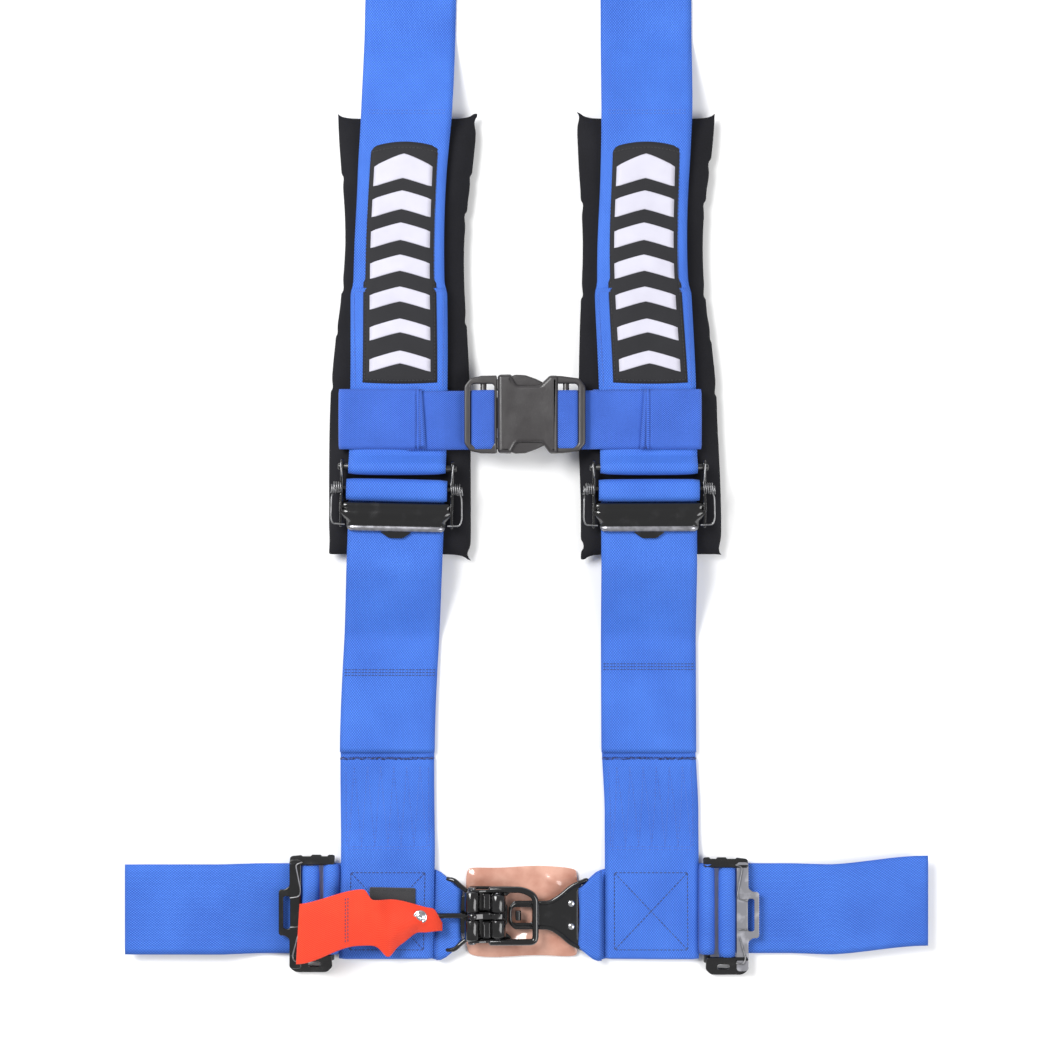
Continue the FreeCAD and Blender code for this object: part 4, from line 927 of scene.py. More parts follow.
def lap_belts(name):
    sign, (reach, latch_reach, latch_z, knee_x, knee_turn) = flank(name)
    seed = 0.4 if name == "left" else 1.9

    def line(discs, way=1):
        """Lift a view along Y (distance from the middle times way, z) to points in space."""
        points = []
        for out, z in pulled_past(discs):
            out *= way
            drop = (LATCH_Y - LAP_Y) * smooth((latch_reach + 42 - out) / 42)
            rise = 7.5 * smooth((out - 250) / 89) if name == "right" else 0.0
            points.append((sign * out, LAP_Y - 0.4 + drop + rise, z))
        return points

    across = (0, -sign, 0)

    def throat(point):
        """Full width, gathered into the latch's slot."""
        gather = smooth((latch_reach + 13 - abs(point.x)) / 24)
        return 76.2 - 30.0 * gather

    def gathered(point, v):
        """Where it's gathered the belt's edges curl up and its middle bellies."""
        gather = smooth((latch_reach + 26 - abs(point.x)) / 26)
        slack = 0.3 * math.sin(abs(point.x) / 19 + seed + v)
        return (gather * (1.6 * (1 - v * v)) + slack) * smooth((point.z - 3) / 2)

    loop_reach = latch_reach - (4.5 if name == "left" else 1.5)
    inner = [
        (-(reach - 6.6), 5.6, 0),
        (-reach, BAR_HEIGHT, BAR_LOOP),
        (-(reach - 9.5), -0.7, -4),
        (-knee_x, FLOOR_LAYER + LAYER + knee_turn, knee_turn),
        (-loop_reach, latch_z, 4.115),
        (-(knee_x - 0.5), max(latch_z - 1, 5.4) + 0.4, 0),
    ]
    inner_strap = Strap(line(inner, -1), across, throat, gathered)
    put_on(inner_strap.mesh(name + "_inner_lap_webbing", BLUE), "root", "webbing", name + "_inner_lap_strap")

    start = reach + 24.8
    outer = [(start, FLOOR_LAYER, 0), (254, 31.2, 30), (268, 4.9, 3.7), (256, 5.7, 0)]
    outer_strap = Strap(line(outer), across, lambda point: 75.0 - 21.0 * smooth((abs(point.x) - 238) / 14))
    piece = outer_strap.mesh(name + "_outer_lap_webbing", BLUE)
    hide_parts(name + "_outer_lap_strap")
    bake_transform(piece)

    tail = [(start, FLOOR_LAYER + LAYER, 0), (222, 33.3, 30), (262, -18.6, -30), (339.6, 11.4, 0)]

    def lazy(point, v):
        out = abs(point.x)
        return 0.5 * math.sin(out / 24 + seed) * math.cos(1.3 * v + seed) * smooth((out - 215) / 40)

    tail_strap = Strap(line(tail), across, 76.2, lazy)
    piece = tail_strap.mesh(name + "_lap_tail_webbing", BLUE)
    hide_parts(name + "_lap_tail")
    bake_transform(piece)


# ---------------------------------------------------------------- sternum strap


def sternum_strap(name):
    sign = SIDES[name]["sign"]
    knee, fold, frame_x, roll = (70, 154.0, 54, 36.1) if name == "left" else (60, 143.2, 52, 33.2)
    top_end = 86 if name == "left" else 97
    middle_y = -6.3
    across = (0, -sign, 0)
    loop = [(-(knee - 4), 21.0, 0), (-fold, 24.2, -3.2), (-(top_end + 16), 23.4, -4),
            (-(top_end + 5), 29.6, 0.5), (-top_end, 29.4, 0)]

    def line(discs):
        return [(sign * -out, middle_y, z) for out, z in pulled_past(discs)]

    def soft(point, v):
        return 0.3 * math.sin(abs(point.x) / 11) * math.cos(2 * v) * smooth((point.z - 24) / 2)

    loop_strap = Strap(line(loop), across, 50.4, soft)
    piece = loop_strap.mesh(name + "_sternum_loop_webbing", STERNUM_BLUE)
    put_on(piece, "root", "webbing", name + "_sternum_strap")
    for vertex in piece.data.vertices:
        out = abs(vertex.co.x) / MM
        if vertex.co.z > 0.0275 and out < top_end + 4:
            vertex.co.x += sign * 0.07 * (vertex.co.y - middle_y * MM) * smooth((top_end + 4 - out) / 4)

    buckle_end = [(-(top_end + 14), 27.4, 0), (-knee, 23.4, -4), (-frame_x, 27.3, 4),
                  (-(roll - 5.8), 26.9, 3.8), (-(roll + 6.0), 26.9, 3.8), (-(roll + 9.8), 25.6, 0)]
    slip = 0.035 if name == "left" else -0.01
    end_line = [(x, y - 0.6 + slip * (abs(x) - 40) * -0.5, z) for x, y, z in line(buckle_end)]
    end_strap = Strap(end_line, across, 49.6)
    put_on(end_strap.mesh(name + "_sternum_end_webbing", STERNUM_BLUE), "root", "webbing")

    sewn = Stitches(0.7)
    for shift in (3.5, 6.5):
        place = loop_strap.nearest(0, sign * (top_end + shift))
        sewn.row(loop_strap, (place, -0.9), (place, 0.9), pitch=3.0)
    put_on(sewn.mesh(name + "_sternum_stitches", BLUE_THREAD), "root", "webbing")


for side_name in SIDES:
    belts = shoulder_belts(side_name)
    shoulder_stitching(side_name, *belts)
    SIDES[side_name]["upper_strap"] = belts[2]
    lap_belts(side_name)
    sternum_strap(side_name)


# ---------------------------------------------------------------- shoulder pads


def pad_outline(name, height):
    """Middle and half width of a shoulder pad at a height above the lap line."""
    waist = bulge(height, 560, 75 if height > 560 else 85)
    if name == "left":
        return -107.1 + 6.4 * smooth((height - 400) / 275), 60.2 - 9.6 * waist
    centre = 105.4 - 3.0 * smooth((height - 330) / 100) - 4.0 * smooth((height - 430) / 110) \
        + 2.6 * smooth((height - 570) / 110)
    return centre, 59.6 - 8.6 * waist


def shoulder_pad(name):
    """A stuffed pad, blown up as cloth and flattened where the belt lies on it."""
    low, high = node_box(name + "_pad_cover")
    foot, crest = low.y - LAP_Y + 4, high.y - LAP_Y - 2
    rows, columns = 44, 16
    points = []
    tip = -1 if name == "right" else 1
    for layer in (0, 1):
        for row in range(rows + 1):
            share = row / rows
            height = foot + (crest - foot) * share
            centre, half = pad_outline(name, height)
            corner = bulge(share, 0, 0.025) + bulge(share, 1, 0.025)
            for column in range(columns + 1):
                v = 2 * column / columns - 1
                pull = 1 if tip * v > 0 else 0.25
                tuck = (bulge(share, 0, 0.05) * pull - bulge(share, 1, 0.05)) * -7 * abs(v) ** 5
                x = centre + half * v * (1 + 0.02 * corner)
                thick = 6.2 * (1 - abs(v) ** 6) * (1 - abs(2 * share - 1) ** 14) + 0.6
                z = 9.8 + (thick if layer else -thick)
                points.append((x, LAP_Y + height + tuck, z))
    faces = sheet_faces(rows, columns)
    pad = mesh_object(name + "_shoulder_pad", points, faces, PAD_BLACK)
    turn_outwards(pad.data)
    remesh = pad.modifiers.new("remesh", "REMESH")
    remesh.mode = "VOXEL"
    remesh.voxel_size = 0.0046
    relax = pad.modifiers.new("relax", "SMOOTH")
    relax.factor = 0.5
    relax.iterations = 9
    blow_up(pad, 4.0)
    true_edges(pad, name)
    seat = DECK_Z - 1.6
    for vertex in pad.data.vertices:
        x, y, z = vertex.co / MM
        height = y - LAP_Y
        belt = strap_x(name, height)
        under = smooth((46 - abs(x - belt)) / 7)
        ceiling = seat + 4.0 * (1 - under)
        if z > ceiling - 3:
            z = ceiling - 3 + 3 * math.tanh((z - ceiling + 3) / 3)
        if z > seat - 4:
            z = max(z, 0) * (1 - under) + min(z, seat) * under
        vertex.co.z = max(z, 0.3) * MM
    divide = pad.modifiers.new("smooth", "SUBSURF")
    divide.levels = 1
    divide.render_levels = 1
    put_on(pad, "root", "pad_fabric", name + "_pad_cover", name + "_pad_filling")
    return pad


def true_edges(pad, name, band_mm=5.0):
    """Bring the remeshed long sides back to the drawn outline, a band of height at a time."""
    reach = {}
    spots = []
    for vertex in pad.data.vertices:
        x, y, _ = vertex.co / MM
        centre, half = pad_outline(name, y - LAP_Y)
        band, side, share = y / band_mm, x > centre, abs(x - centre) / half
        spots.append((centre, band, side, share * half))
        for key in ((math.floor(band), side), (math.floor(band) + 1, side)):
            reach[key] = max(reach.get(key, 0.0), share)
    for vertex, (centre, band, side, offset) in zip(pad.data.vertices, spots):
        below, above = reach[math.floor(band), side], reach[math.floor(band) + 1, side]
        edge = below + (above - below) * (band - math.floor(band))
        if edge > 0.8:
            vertex.co.x = (centre + (offset if side else -offset) / edge) * MM


def bake(piece):
    """Applies a piece's modifiers."""
    graph = bpy.context.evaluated_depsgraph_get()
    mesh = bpy.data.meshes.new_from_object(piece.evaluated_get(graph))
    piece.modifiers.clear()
    piece.data = mesh
    mesh.shade_smooth()


def blow_up(piece, pressure, limit_mm=3.2, frames=20):
    """A short cloth run that rounds a stuffed piece, with each point held near its start."""
    bake(piece)
    before = [vertex.co.copy() for vertex in piece.data.vertices]
    cloth = piece.modifiers.new("cloth", "CLOTH")
    cloth.settings.use_pressure = True
    cloth.settings.uniform_pressure_force = pressure
    cloth.settings.effector_weights.gravity = 0.0
    cloth.settings.quality = 6
    cloth.settings.tension_stiffness = 25
    cloth.settings.compression_stiffness = 25
    cloth.settings.shear_stiffness = 12
    cloth.settings.bending_stiffness = 1.5
    cloth.point_cache.frame_start = 1
    cloth.point_cache.frame_end = frames
    scene = bpy.context.scene
    for number in range(1, frames + 1):
        scene.frame_set(number)
    bake(piece)
    scene.frame_set(1)
    for vertex, start in zip(piece.data.vertices, before):
        move = vertex.co - start
        if move.length > limit_mm * MM:
            vertex.co = start + move.normalized() * limit_mm * MM


for side_name in SIDES:
    shoulder_pad(side_name)


# ---------------------------------------------------------------- patches


def patch(name):
    """A woven patch sewn along the belt, with a plain column of chevrons."""
    low_h, high_h = 444.5, 642.0
    rows, columns = 60, 16
    points, uvs = [], []

    def spot(v, height, lift):
        share = (height - low_h) / (high_h - low_h)
        centre = strap_x(name, height) + (0.8 if name == "left" else 2.6 - 2.2 * share)
        half = 31.4 - 1.7 * share
        arch = 5.2 * (1 - v * v) * smooth((share - 0.85) / 0.15)
        arch += 1.0 * (v * v - 1) * smooth((0.1 - share) / 0.1)
        belt_top = DECK_LAYER + 0.95 + LAYER * smooth((534 - height) / 18)
        drape = -0.9 * abs(v * half / 39) ** 3
        return centre + half * v, LAP_Y + height + arch, belt_top + drape + lift

    for face in (1, 0):
        for row in range(rows + 1):
            height = low_h + (high_h - low_h) * row / rows
            for column in range(columns + 1):
                v = 2 * column / columns - 1
                edge = 0.35 if column in (0, columns) or row in (0, rows) else 1.0
                points.append(spot(v, height, 1.0 * edge if face else 0.0))
                uvs.append((points[-1][0] * MM, points[-1][1] * MM))
    faces = sheet_faces(rows, columns)
    piece = mesh_object(name + "_patch_cloth", points, faces, PATCH_BLACK, uvs)
    turn_outwards(piece.data)
    put_on(piece, "root", "patch_fabric", name + "_patch")

    points, uvs, faces = [], [], []
    count, steps = 7, 12
    pitch = (high_h - low_h - 16) / count
    for number in range(count):
        foot = low_h + 14 + pitch * number
        band = pitch * (0.42 + 0.04 * number)
        base = len(points)
        levels = (0, 0.06, 0.2, 0.35, 0.5, 0.65, 0.8, 0.94, 1)
        for level in levels:
            lift = 1.4 if 0 < level < 1 else 0.95
            for step in range(steps + 1):
                v = (2 * step / steps - 1) * (0.82 if 0 < level < 1 else 0.835)
                rise = -9.0 * abs(v) ** 1.15
                spot_x, spot_y, spot_z = spot(v, foot + rise + band * level + 2, lift)
                if step in (0, steps):
                    spot_z -= 0.3
                points.append((spot_x, spot_y, spot_z))
                uvs.append((spot_x * MM, spot_y * MM))
        for level in range(len(levels) - 1):
            for step in range(steps):
                a = base + level * (steps + 1) + step
                b = a + steps + 1
                faces.append((a, a + 1, b + 1, b))
    piece = mesh_object(name + "_patch_chevrons", points, faces, PATCH_PALE, uvs)
    solid = piece.modifiers.new("thickness", "SOLIDIFY")
    solid.thickness = 0.0004
    solid.offset = -1
    put_on(piece, "root", "patch_fabric")

    sewn = Stitches(0.6)
    corners = [(-0.94, low_h + 2.5), (0.94, low_h + 2.5), (0.94, high_h - 4.5), (-0.94, high_h - 4.5)]
    for (first_v, first_h), (last_v, last_h) in zip(corners, corners[1:] + corners[:1]):
        length = math.dist((first_v * 31, first_h), (last_v * 31, last_h))

        def on_edge(share):
            v = first_v + (last_v - first_v) * share
            return Vector(spot(v, first_h + (last_h - first_h) * share, 1.05))

        sewn.seam(round(length / SEAM_PITCH), on_edge, 0.12)
    put_on(sewn.mesh(name + "_patch_stitches", BLACK_THREAD), "root", "patch_fabric")


for side_name in SIDES:
    patch(side_name)


# ---------------------------------------------------------------- adjusters


def lie_at(origin, x_axis, y_axis):
    """Places a flat outline: its x and y directions, from an origin."""
    x_axis, y_axis = Vector(x_axis).normalized(), Vector(y_axis).normalized()
    z_axis = x_axis.cross(y_axis)
    turn = Matrix((x_axis, y_axis, z_axis)).transposed().to_4x4()
    turn.translation = Vector(origin)
    return turn


def oval_wrap(name, centre, half_run, run_axis, bar_axis, width, material):
    """Webbing taken once round a bar, its ends meeting underneath."""
    centre, run_axis = Vector(centre), Vector(run_axis)
    up = Vector((0, 0, 1))
    straight = half_run - BAR_LOOP - THICK / 2
    steps = 12
    line = []
    for end in (1, -1):
        for number in range(steps + 1):
            angle = end * -math.pi / 2 + math.pi * number / steps
            run = run_axis * (end * straight + BAR_LOOP * math.cos(angle))
            line.append(centre + run + up * BAR_LOOP * math.sin(angle))
    line = [line[0] + run_axis * -0.4] + line + [line[-1] + run_axis * (straight - 0.2)]
    strap = Strap(line, bar_axis, width, lambda point, v: -0.25 * v * v)
    return strap.mesh(name, material)


def shoulder_adjuster(name):
    side = SIDES[name]
    slide = middle(name + "_shoulder_adjuster_slide_bar")
    fixed_h = side["adjuster_h"]
    turn = Matrix.Rotation(-side["slant"], 4, "Z")
    centre_x = side["strap_x"]
    bar_z = slide.z

    def place(u, height, z):
        """A spot beside the adjuster's middle line, turned with the belt."""
        spot = turn @ Vector((u, height - fixed_h, 0))
        return Vector((centre_x + spot.x, LAP_Y + fixed_h + spot.y, z))

    across = (turn @ Vector((1, 0, 0)))
    along = (turn @ Vector((0, 1, 0)))

    profile = [(343.0, 29.0), (342.2, 31.2), (340.2, 31.6), (338.6, 31.0), (337.6, 31.2), (336.6, 32.6),
               (334.6, 33.4), (332.2, 33.2), (329.8, 32.2), (327.6, 30.4), (325.8, 29.2), (323.6, 28.7),
               (321.0, 28.5), (319.2, 28.2)]
    line = [place(0, height, z) for height, z in profile]

    def height_of(point):
        return (point - place(0, fixed_h, 0)).dot(along) + fixed_h

    def reach(point):
        height = height_of(point)
        return 2 * (48.0 - 6.5 * smooth((338 - height) / 12) - 3.5 * smooth((322.5 - height) / 3.5) ** 2)

    hood = Strap(line, across, reach, thickness=2.0)
    hood_piece = hood.mesh(name + "_hood", BLACK_STEEL)
    tongue = [(-19, 322, 0), (19, 322, 0), (14, 319.4, 6), (6, 313.6, 6), (-6, 313.6, 6), (-14, 319.4, 6)]
    tongue = [(u, height - fixed_h, radius) for u, height, radius in tongue]
    tongue_piece = pressed(name + "_tongue", [rounded(tongue)], 27.1, 28.9, 0.6, BLACK_STEEL,
                           lie_at(place(0, fixed_h, 0), across, along))
    # A strip of pale metal along the hood's lower edge; its brightness is a painted highlight.
    lip_line = [place(0, height, z) for height, z in
                [(323.8, 29.0), (323.2, 29.7), (321.8, 29.8), (320.4, 29.4), (319.4, 28.6)]]
    lip = Strap(lip_line, across, lambda point: 82 - 7.0 * smooth((322.5 - height_of(point)) / 3.5) ** 2,
                thickness=1.4)
    lip_piece = lip.mesh(name + "_lip", LIP_HIGHLIGHT_STEEL)
    ears = []
    for end in (-1, 1):
        ear = [(379.5, 24.2, 5), (379.5, 33.2, 5), (362, 32.4, 4), (350, 30.2, 4), (343, 33.6, 2),
               (336, 34.0, 2), (322, 27.4, 2), (322, 24.4, 1.5), (350, 23.6, 4)]
        origin = place(end * 46.4 - 1.1, fixed_h, 0)
        outline = [(height - fixed_h, z) for height, z in rounded(ear)]
        ears.append(pressed(name + "_ear", [outline], 0.0, 2.3, 0.6, BLACK_STEEL,
                            lie_at(origin, along, (0, 0, 1))))
    bar = turned(name + "_fixed_bar", [(-49.8, 2.0), (-49.4, 2.7), (-48.9, 3.0), (48.9, 3.0), (49.4, 2.7),
                                       (49.8, 2.0)], place(0, fixed_h, bar_z), across, BAR_STEEL, 20)
    frame_piece = joined(name + "_shoulder_adjuster_shell", hood_piece, tongue_piece, lip_piece, *ears, bar)
    put_on(frame_piece, name + "_shoulder_tilt", "black_steel", name + "_shoulder_adjuster_frame")

    slide_h = slide.y - LAP_Y
    wrap = oval_wrap(name + "_shoulder_wrap_webbing", place(0, 353.9, bar_z), 9.5, along, across, 84.5, BLUE)
    put_on(wrap, name + "_shoulder_slider", "webbing", name + "_shoulder_adjuster_webbing_wrap")

    wires = []
    for end in (-1, 1):
        start = place(end * 45.6, slide_h, bar_z)
        points = coil(start, across * end, 4.4, 1.75, 4.3, 0.6)
        top_leg = [place(end * 47.2, 375.5, 33.2), place(end * 46.2, 366, 33.8), points[0]]
        path = bent(top_leg, 2)[:-1] + points
        wires.append(wire(name + "_coil", path, 0.62, SPRING_STEEL, 8))
        leg = [points[-1], place(end * 54.6, 347, 30.5), place(end * 55.0, 330, 28.6),
               place(end * 53.4, 325.0, 28.0), place(end * 43.5, 324.6, 28.2)]
        wires.append(wire(name + "_leg", bent(leg, 3), 0.75, SPRING_STEEL, 8))
        second = coil(place(end * 51.0, slide_h - 1.5, bar_z + 0.5), across * end, 3.3, 1.3, 3.2, 2.0)
        wires.append(wire(name + "_outer_coil", second, 0.55, SPRING_STEEL, 8))
    put_on(joined(name + "_shoulder_spring_wires", *wires), name + "_shoulder_slider", "bright_steel",
           name + "_shoulder_adjuster_springs")


def lap_adjuster(name):
    sign, (reach, *_) = flank(name)
    slide = middle(name + "_lap_adjuster_slide_bar")
    centre_y = slide.y - (0.0 if name == "left" else 2.2)
    slide_out = abs(slide.x)
    bar_z = slide.z

    def place(out, y, z):
        """Distance outwards from the fixed bar, distance above the bars' middle, and height."""
        return Vector((sign * (reach + out), centre_y + y, z))

    outwards = (sign, 0, 0)
    north = (0, 1, 0)
    plate = [(24.8, 44.5, 2.5), (34.8, 44.5, 2.5), (34.8, 22.5, 3.5), (38.5, 19.6, 3.5), (43.9, 19.6, 4.5),
             (43.9, -19.6, 4.5), (38.5, -19.6, 3.5), (34.8, -22.5, 3.5), (34.8, -47.5, 2.5),
             (24.8, -47.5, 2.5)]
    window = [(34.3, 13.8, 2), (39.8, 13.8, 2), (39.8, -13.8, 2), (34.3, -13.8, 2)]
    lie = lie_at(place(0, 0, 0), outwards, north)
    low_z, high_z = (-11.6, -9.4) if sign < 0 else (9.4, 11.6)
    # The right plate takes the lit copy of the steel: its grey is a painted reflection.
    plate_steel = BLACK_STEEL if name == "left" else GLARE_STEEL
    face = pressed(name + "_plate", [rounded(plate), rounded(window)], low_z, high_z, 0.7, plate_steel, lie)

    parts = [face]
    slope = Vector((0, 0.74, -0.67))
    ear = [(34.6, -1.5, 2), (34.6, 7.0, 3), (25, 8.2, 1.5), (24, 7.0, 1), (17, 7.0, 1), (16, 8.6, 1.5),
           (8.5, 8.6, 1.5), (7.5, 7.0, 1), (3, 7.0, 1), (2, 8.6, 1.5), (-3.4, 8.6, 2), (-3.4, -1.5, 2)]
    parts.append(pressed(name + "_upper_ear", [rounded(ear)], -1.1, 1.1, 0.55, BLACK_STEEL,
                         lie_at(place(0, 41.5, 11.0), outwards, slope)))
    slope = Vector((0, -0.86, -0.50))
    ear = [(34.6, -1.5, 2), (34.6, 12.5, 5), (30.0, 16.6, 5), (3.5, 16.6, 5), (-1.2, 11.0, 5),
           (-1.2, -1.5, 2)]
    slots = [[(8.6, 5.4, 2), (19.0, 5.4, 2), (19.0, 10.4, 2), (8.6, 10.4, 2)],
             [(25.2, 5.4, 1.6), (29.4, 5.4, 1.6), (29.4, 9.8, 1.6), (25.2, 9.8, 1.6)]]
    parts.append(pressed(name + "_lower_ear", [rounded(ear)] + [rounded(slot) for slot in slots], -1.1, 1.1,
                         0.55, BLACK_STEEL, lie_at(place(0, -37.0, 11.2), outwards, slope)))
    parts.append(turned(name + "_fixed_bar", [(-41, 2.0), (-40.5, 2.8), (-40, 3.0), (40, 3.0), (40.5, 2.8),
                                              (41, 2.0)], place(0, 0, bar_z), north, BAR_STEEL, 20))
    put_on(joined(name + "_lap_adjuster_shell", *parts), name + "_lap_tilt", "black_steel",
           name + "_lap_adjuster_frame")

    wrap = oval_wrap(name + "_lap_wrap_webbing",
                     place(slide_out - reach - 0.4, 2.0 if name == "right" else 1.5, bar_z), 7.6, outwards,
                     (0, -sign, 0), 76.0, BLUE)
    put_on(wrap, name + "_lap_slider", "webbing", name + "_lap_adjuster_webbing_wrap")

    top_z = 12.5
    wires = []
    upper = [place(24.0, 42.5, 12.4), place(29.5, 40.6, top_z), place(25.2, 19, top_z),
             place(26.0, 13.6, top_z), place(34.0, 12.4, top_z)]
    wires.append(wire(name + "_upper_wire", bent(upper, 3), 0.62, SPRING_STEEL, 8))
    lower = [place(27.0, -18, top_z), place(32.2, -37.0, top_z), place(30.2, -41.5, top_z),
             place(24.5, -40.5, 12.2)]
    wires.append(wire(name + "_lower_wire", bent(lower, 3), 0.62, SPRING_STEEL, 8))
    across_wire = [place(26.2, -12.0, 12.2), place(34.0, -12.4, 12.4)]
    wires.append(wire(name + "_cross_wire", across_wire, 0.6, SPRING_STEEL, 8))
    slide_rod = turned(name + "_slide_rod",
                       [(-41.6, 1.2), (-41.2, 2.0), (-37.6, 2.0), (-37.2, 4.0), (37.2, 4.0), (37.6, 2.0),
                        (41.2, 2.0), (41.6, 1.2)], place(slide_out - reach, 0, bar_z), north, BAR_STEEL, 24)
    put_on(slide_rod, name + "_lap_slider", "black_steel", name + "_lap_adjuster_slide_bar")
    for end in (39.6, -37.6):
        wires.append(turned(name + "_bar_head", [(0, 3.0), (0.4, 4.0), (2.2, 4.0), (2.6, 3.2)],
                            place(slide_out - reach, end - 1.3, bar_z), north, SPRING_STEEL, 20))
    put_on(joined(name + "_lap_spring_wires", *wires), name + "_lap_slider", "bright_steel",
           name + "_lap_adjuster_springs")


for side_name in SIDES:
    shoulder_adjuster(side_name)
    lap_adjuster(side_name)


# ---------------------------------------------------------------- red pull tab


def pull_tab():
    """A folded ribbon of red webbing that narrows and crumples to its rivet."""
    rivet = middle("tab_rivet")
    tab_low = node_box("pull_tab")[0]
    left_x = tab_low.x
    right_x = rivet.x + 17.5
    stations, columns = 64, 22
    run = right_x - left_x

    def top_edge(share):
        """Y of the upper edge: full width to the left, waving down to the rivet."""
        return (-412.6 + 11.0 * smooth(share / 0.45) - 9.0 * smooth((share - 0.46) / 0.06)
                - 8.0 * smooth((share - 0.62) / 0.34) - 16.0 * smooth((share - 0.93) / 0.10))

    def low_edge(share):
        """Y of the lower edge, with a fold that droops just before it narrows."""
        return (-463.4 + 14.5 * smooth(share / 0.42) - 10.6 * bulge(share, 0.625, 0.055)
                + 10.0 * smooth((share - 0.70) / 0.14) + 1.6 * smooth((share - 0.86) / 0.14))

    def height_at(share, v):
        """Height of the ribbon's upper layer."""
        base = 35.2 - 16.4 * smooth(share / 0.86)
        fold = 3.2 * bulge(share, 0.56, 0.055) * (0.5 + 0.5 * v)
        fold -= 3.0 * bulge(share + 0.05 * v, 0.66, 0.05) * (1 - v) * 0.5
        pleat = 2.6 * smooth((share - 0.5) / 0.2) * math.cos(3.1 * v + 0.6)
        pleat *= 1 - smooth((share - 0.80) / 0.1)
        crown = -1.2 * v * v * (1 - smooth((share - 0.4) / 0.2)) + 0.5 * math.sin(9 * share + 2 * v)
        return base + fold + pleat + crown

    points, uvs, faces = [], [], []
    for layer in (1, 0):
        for face in (1, 0):
            for station in range(stations + 1):
                share = station / stations
                low_y, high_y = low_edge(share), top_edge(share)
                for column in range(columns + 1):
                    v = 2 * column / columns - 1
                    y = (low_y + high_y) / 2 + v * (high_y - low_y) / 2
                    x = left_x + 1.4 + run * share + (0.06 * (y + 436) + 1.2) * (1 - smooth(share / 0.12))
                    round_end = smooth(share / 0.03)
                    z = height_at(share, v)
                    gap = 0.9 + 1.0 * (1 - smooth((share - 0.02) / 0.5)) * round_end
                    middle_z = z - (0 if layer else 2.0 * gap)
                    edge = 0.3 if column in (0, columns) else 0.8
                    points.append((x, y, middle_z + (edge if face else -edge)))
                    uvs.append(((v * 25) * MM, (x - left_x) * MM))
    size = (stations + 1) * (columns + 1)

    def quilt(base):
        for station in range(stations):
            for column in range(columns):
                a = base + station * (columns + 1) + column
                b = a + columns + 1
                faces.append((a, a + 1, b + 1, b))

    def edges(upper, lower):
        for station in range(stations):
            for column in (0, columns):
                a = station * (columns + 1) + column
                b = a + columns + 1
                faces.append((upper + a, upper + b, lower + b, lower + a))
        last = stations * (columns + 1)
        for column in range(columns):
            faces.append((upper + last + column, upper + last + column + 1, lower + last + column + 1,
                          lower + last + column))

    for index in range(4):
        quilt(index * size)
    edges(0, size)
    edges(2 * size, 3 * size)
    for column in range(columns):
        faces.append((column, column + 1, 3 * size + column + 1, 3 * size + column))
        faces.append((size + column, size + column + 1, 2 * size + column + 1, 2 * size + column))
    for column in (0, columns):
        faces.append((column, size + column, 2 * size + column, 3 * size + column))
    piece = mesh_object("red_pull_tab", points, faces, RED, uvs)
    turn_outwards(piece.data)
    divide = piece.modifiers.new("smooth", "SUBSURF")
    divide.levels = divide.render_levels = 1
    put_on(piece, "lever", "tab_webbing", "pull_tab")

    sewn = Stitches(0.8)
    for share in (0.335, 0.352):
        low_y, high_y = low_edge(share), top_edge(share)

        def across_tab(part):
            v = -0.80 + 1.60 * part
            y = (low_y + high_y) / 2 + v * (high_y - low_y) / 2
            return Vector((left_x + 1.4 + run * share, y, height_at(share, v) + 0.85))

        sewn.seam(13, across_tab)
    put_on(sewn.mesh("red_tab_stitches", DARK_THREAD), "lever", "tab_webbing")
    top = height_at((rivet.x - left_x) / run, 0.4)
    profile = [(-9.5, 2.0), (-0.2, 2.0), (0.0, 5.6), (0.5, 5.9), (1.0, 5.3), (1.2, 4.3), (0.9, 3.9),
               (1.1, 3.4), (1.7, 2.8), (1.9, 1.4), (1.5, 0.9), (1.4, 0.1)]
    put_on(turned("tab_rivet_head", profile, (rivet.x, rivet.y + 1.5, top + 0.9), (0, 0, 1), RIVET_STEEL),
           "lever", "bright_steel", "tab_rivet")


pull_tab()


def fastener():
    """Hook-and-loop patch under the tab."""
    low, high = node_box("tab_fastener")
    corners = [(low.x, high.y, 1.5), (high.x, high.y - 0.8, 1.5), (high.x - 0.5, low.y, 1.5),
               (low.x + 0.5, low.y, 1.5)]
    piece = pressed("loop_patch", [rounded(corners)], 6.3, 8.2, 0.7, PILE)
    put_on(piece, "root", "webbing", "tab_fastener")
    sewn = Stitches(0.6)
    inset = 2.0
    spots = [Vector((low.x + inset, high.y - inset, 8.3)),
             Vector((high.x - inset, high.y - inset - 0.7, 8.3)),
             Vector((high.x - inset - 0.4, low.y + inset, 8.3)),
             Vector((low.x + inset, low.y + inset, 8.3))]
    for start, end in zip(spots, spots[1:] + spots[:1]):
        sewn.seam(round((end - start).length / SEAM_PITCH), lambda share: start.lerp(end, share))
    put_on(sewn.mesh("loop_patch_stitches", BLACK_THREAD), "root", "webbing")


fastener()


# ---------------------------------------------------------------- pad under the latch


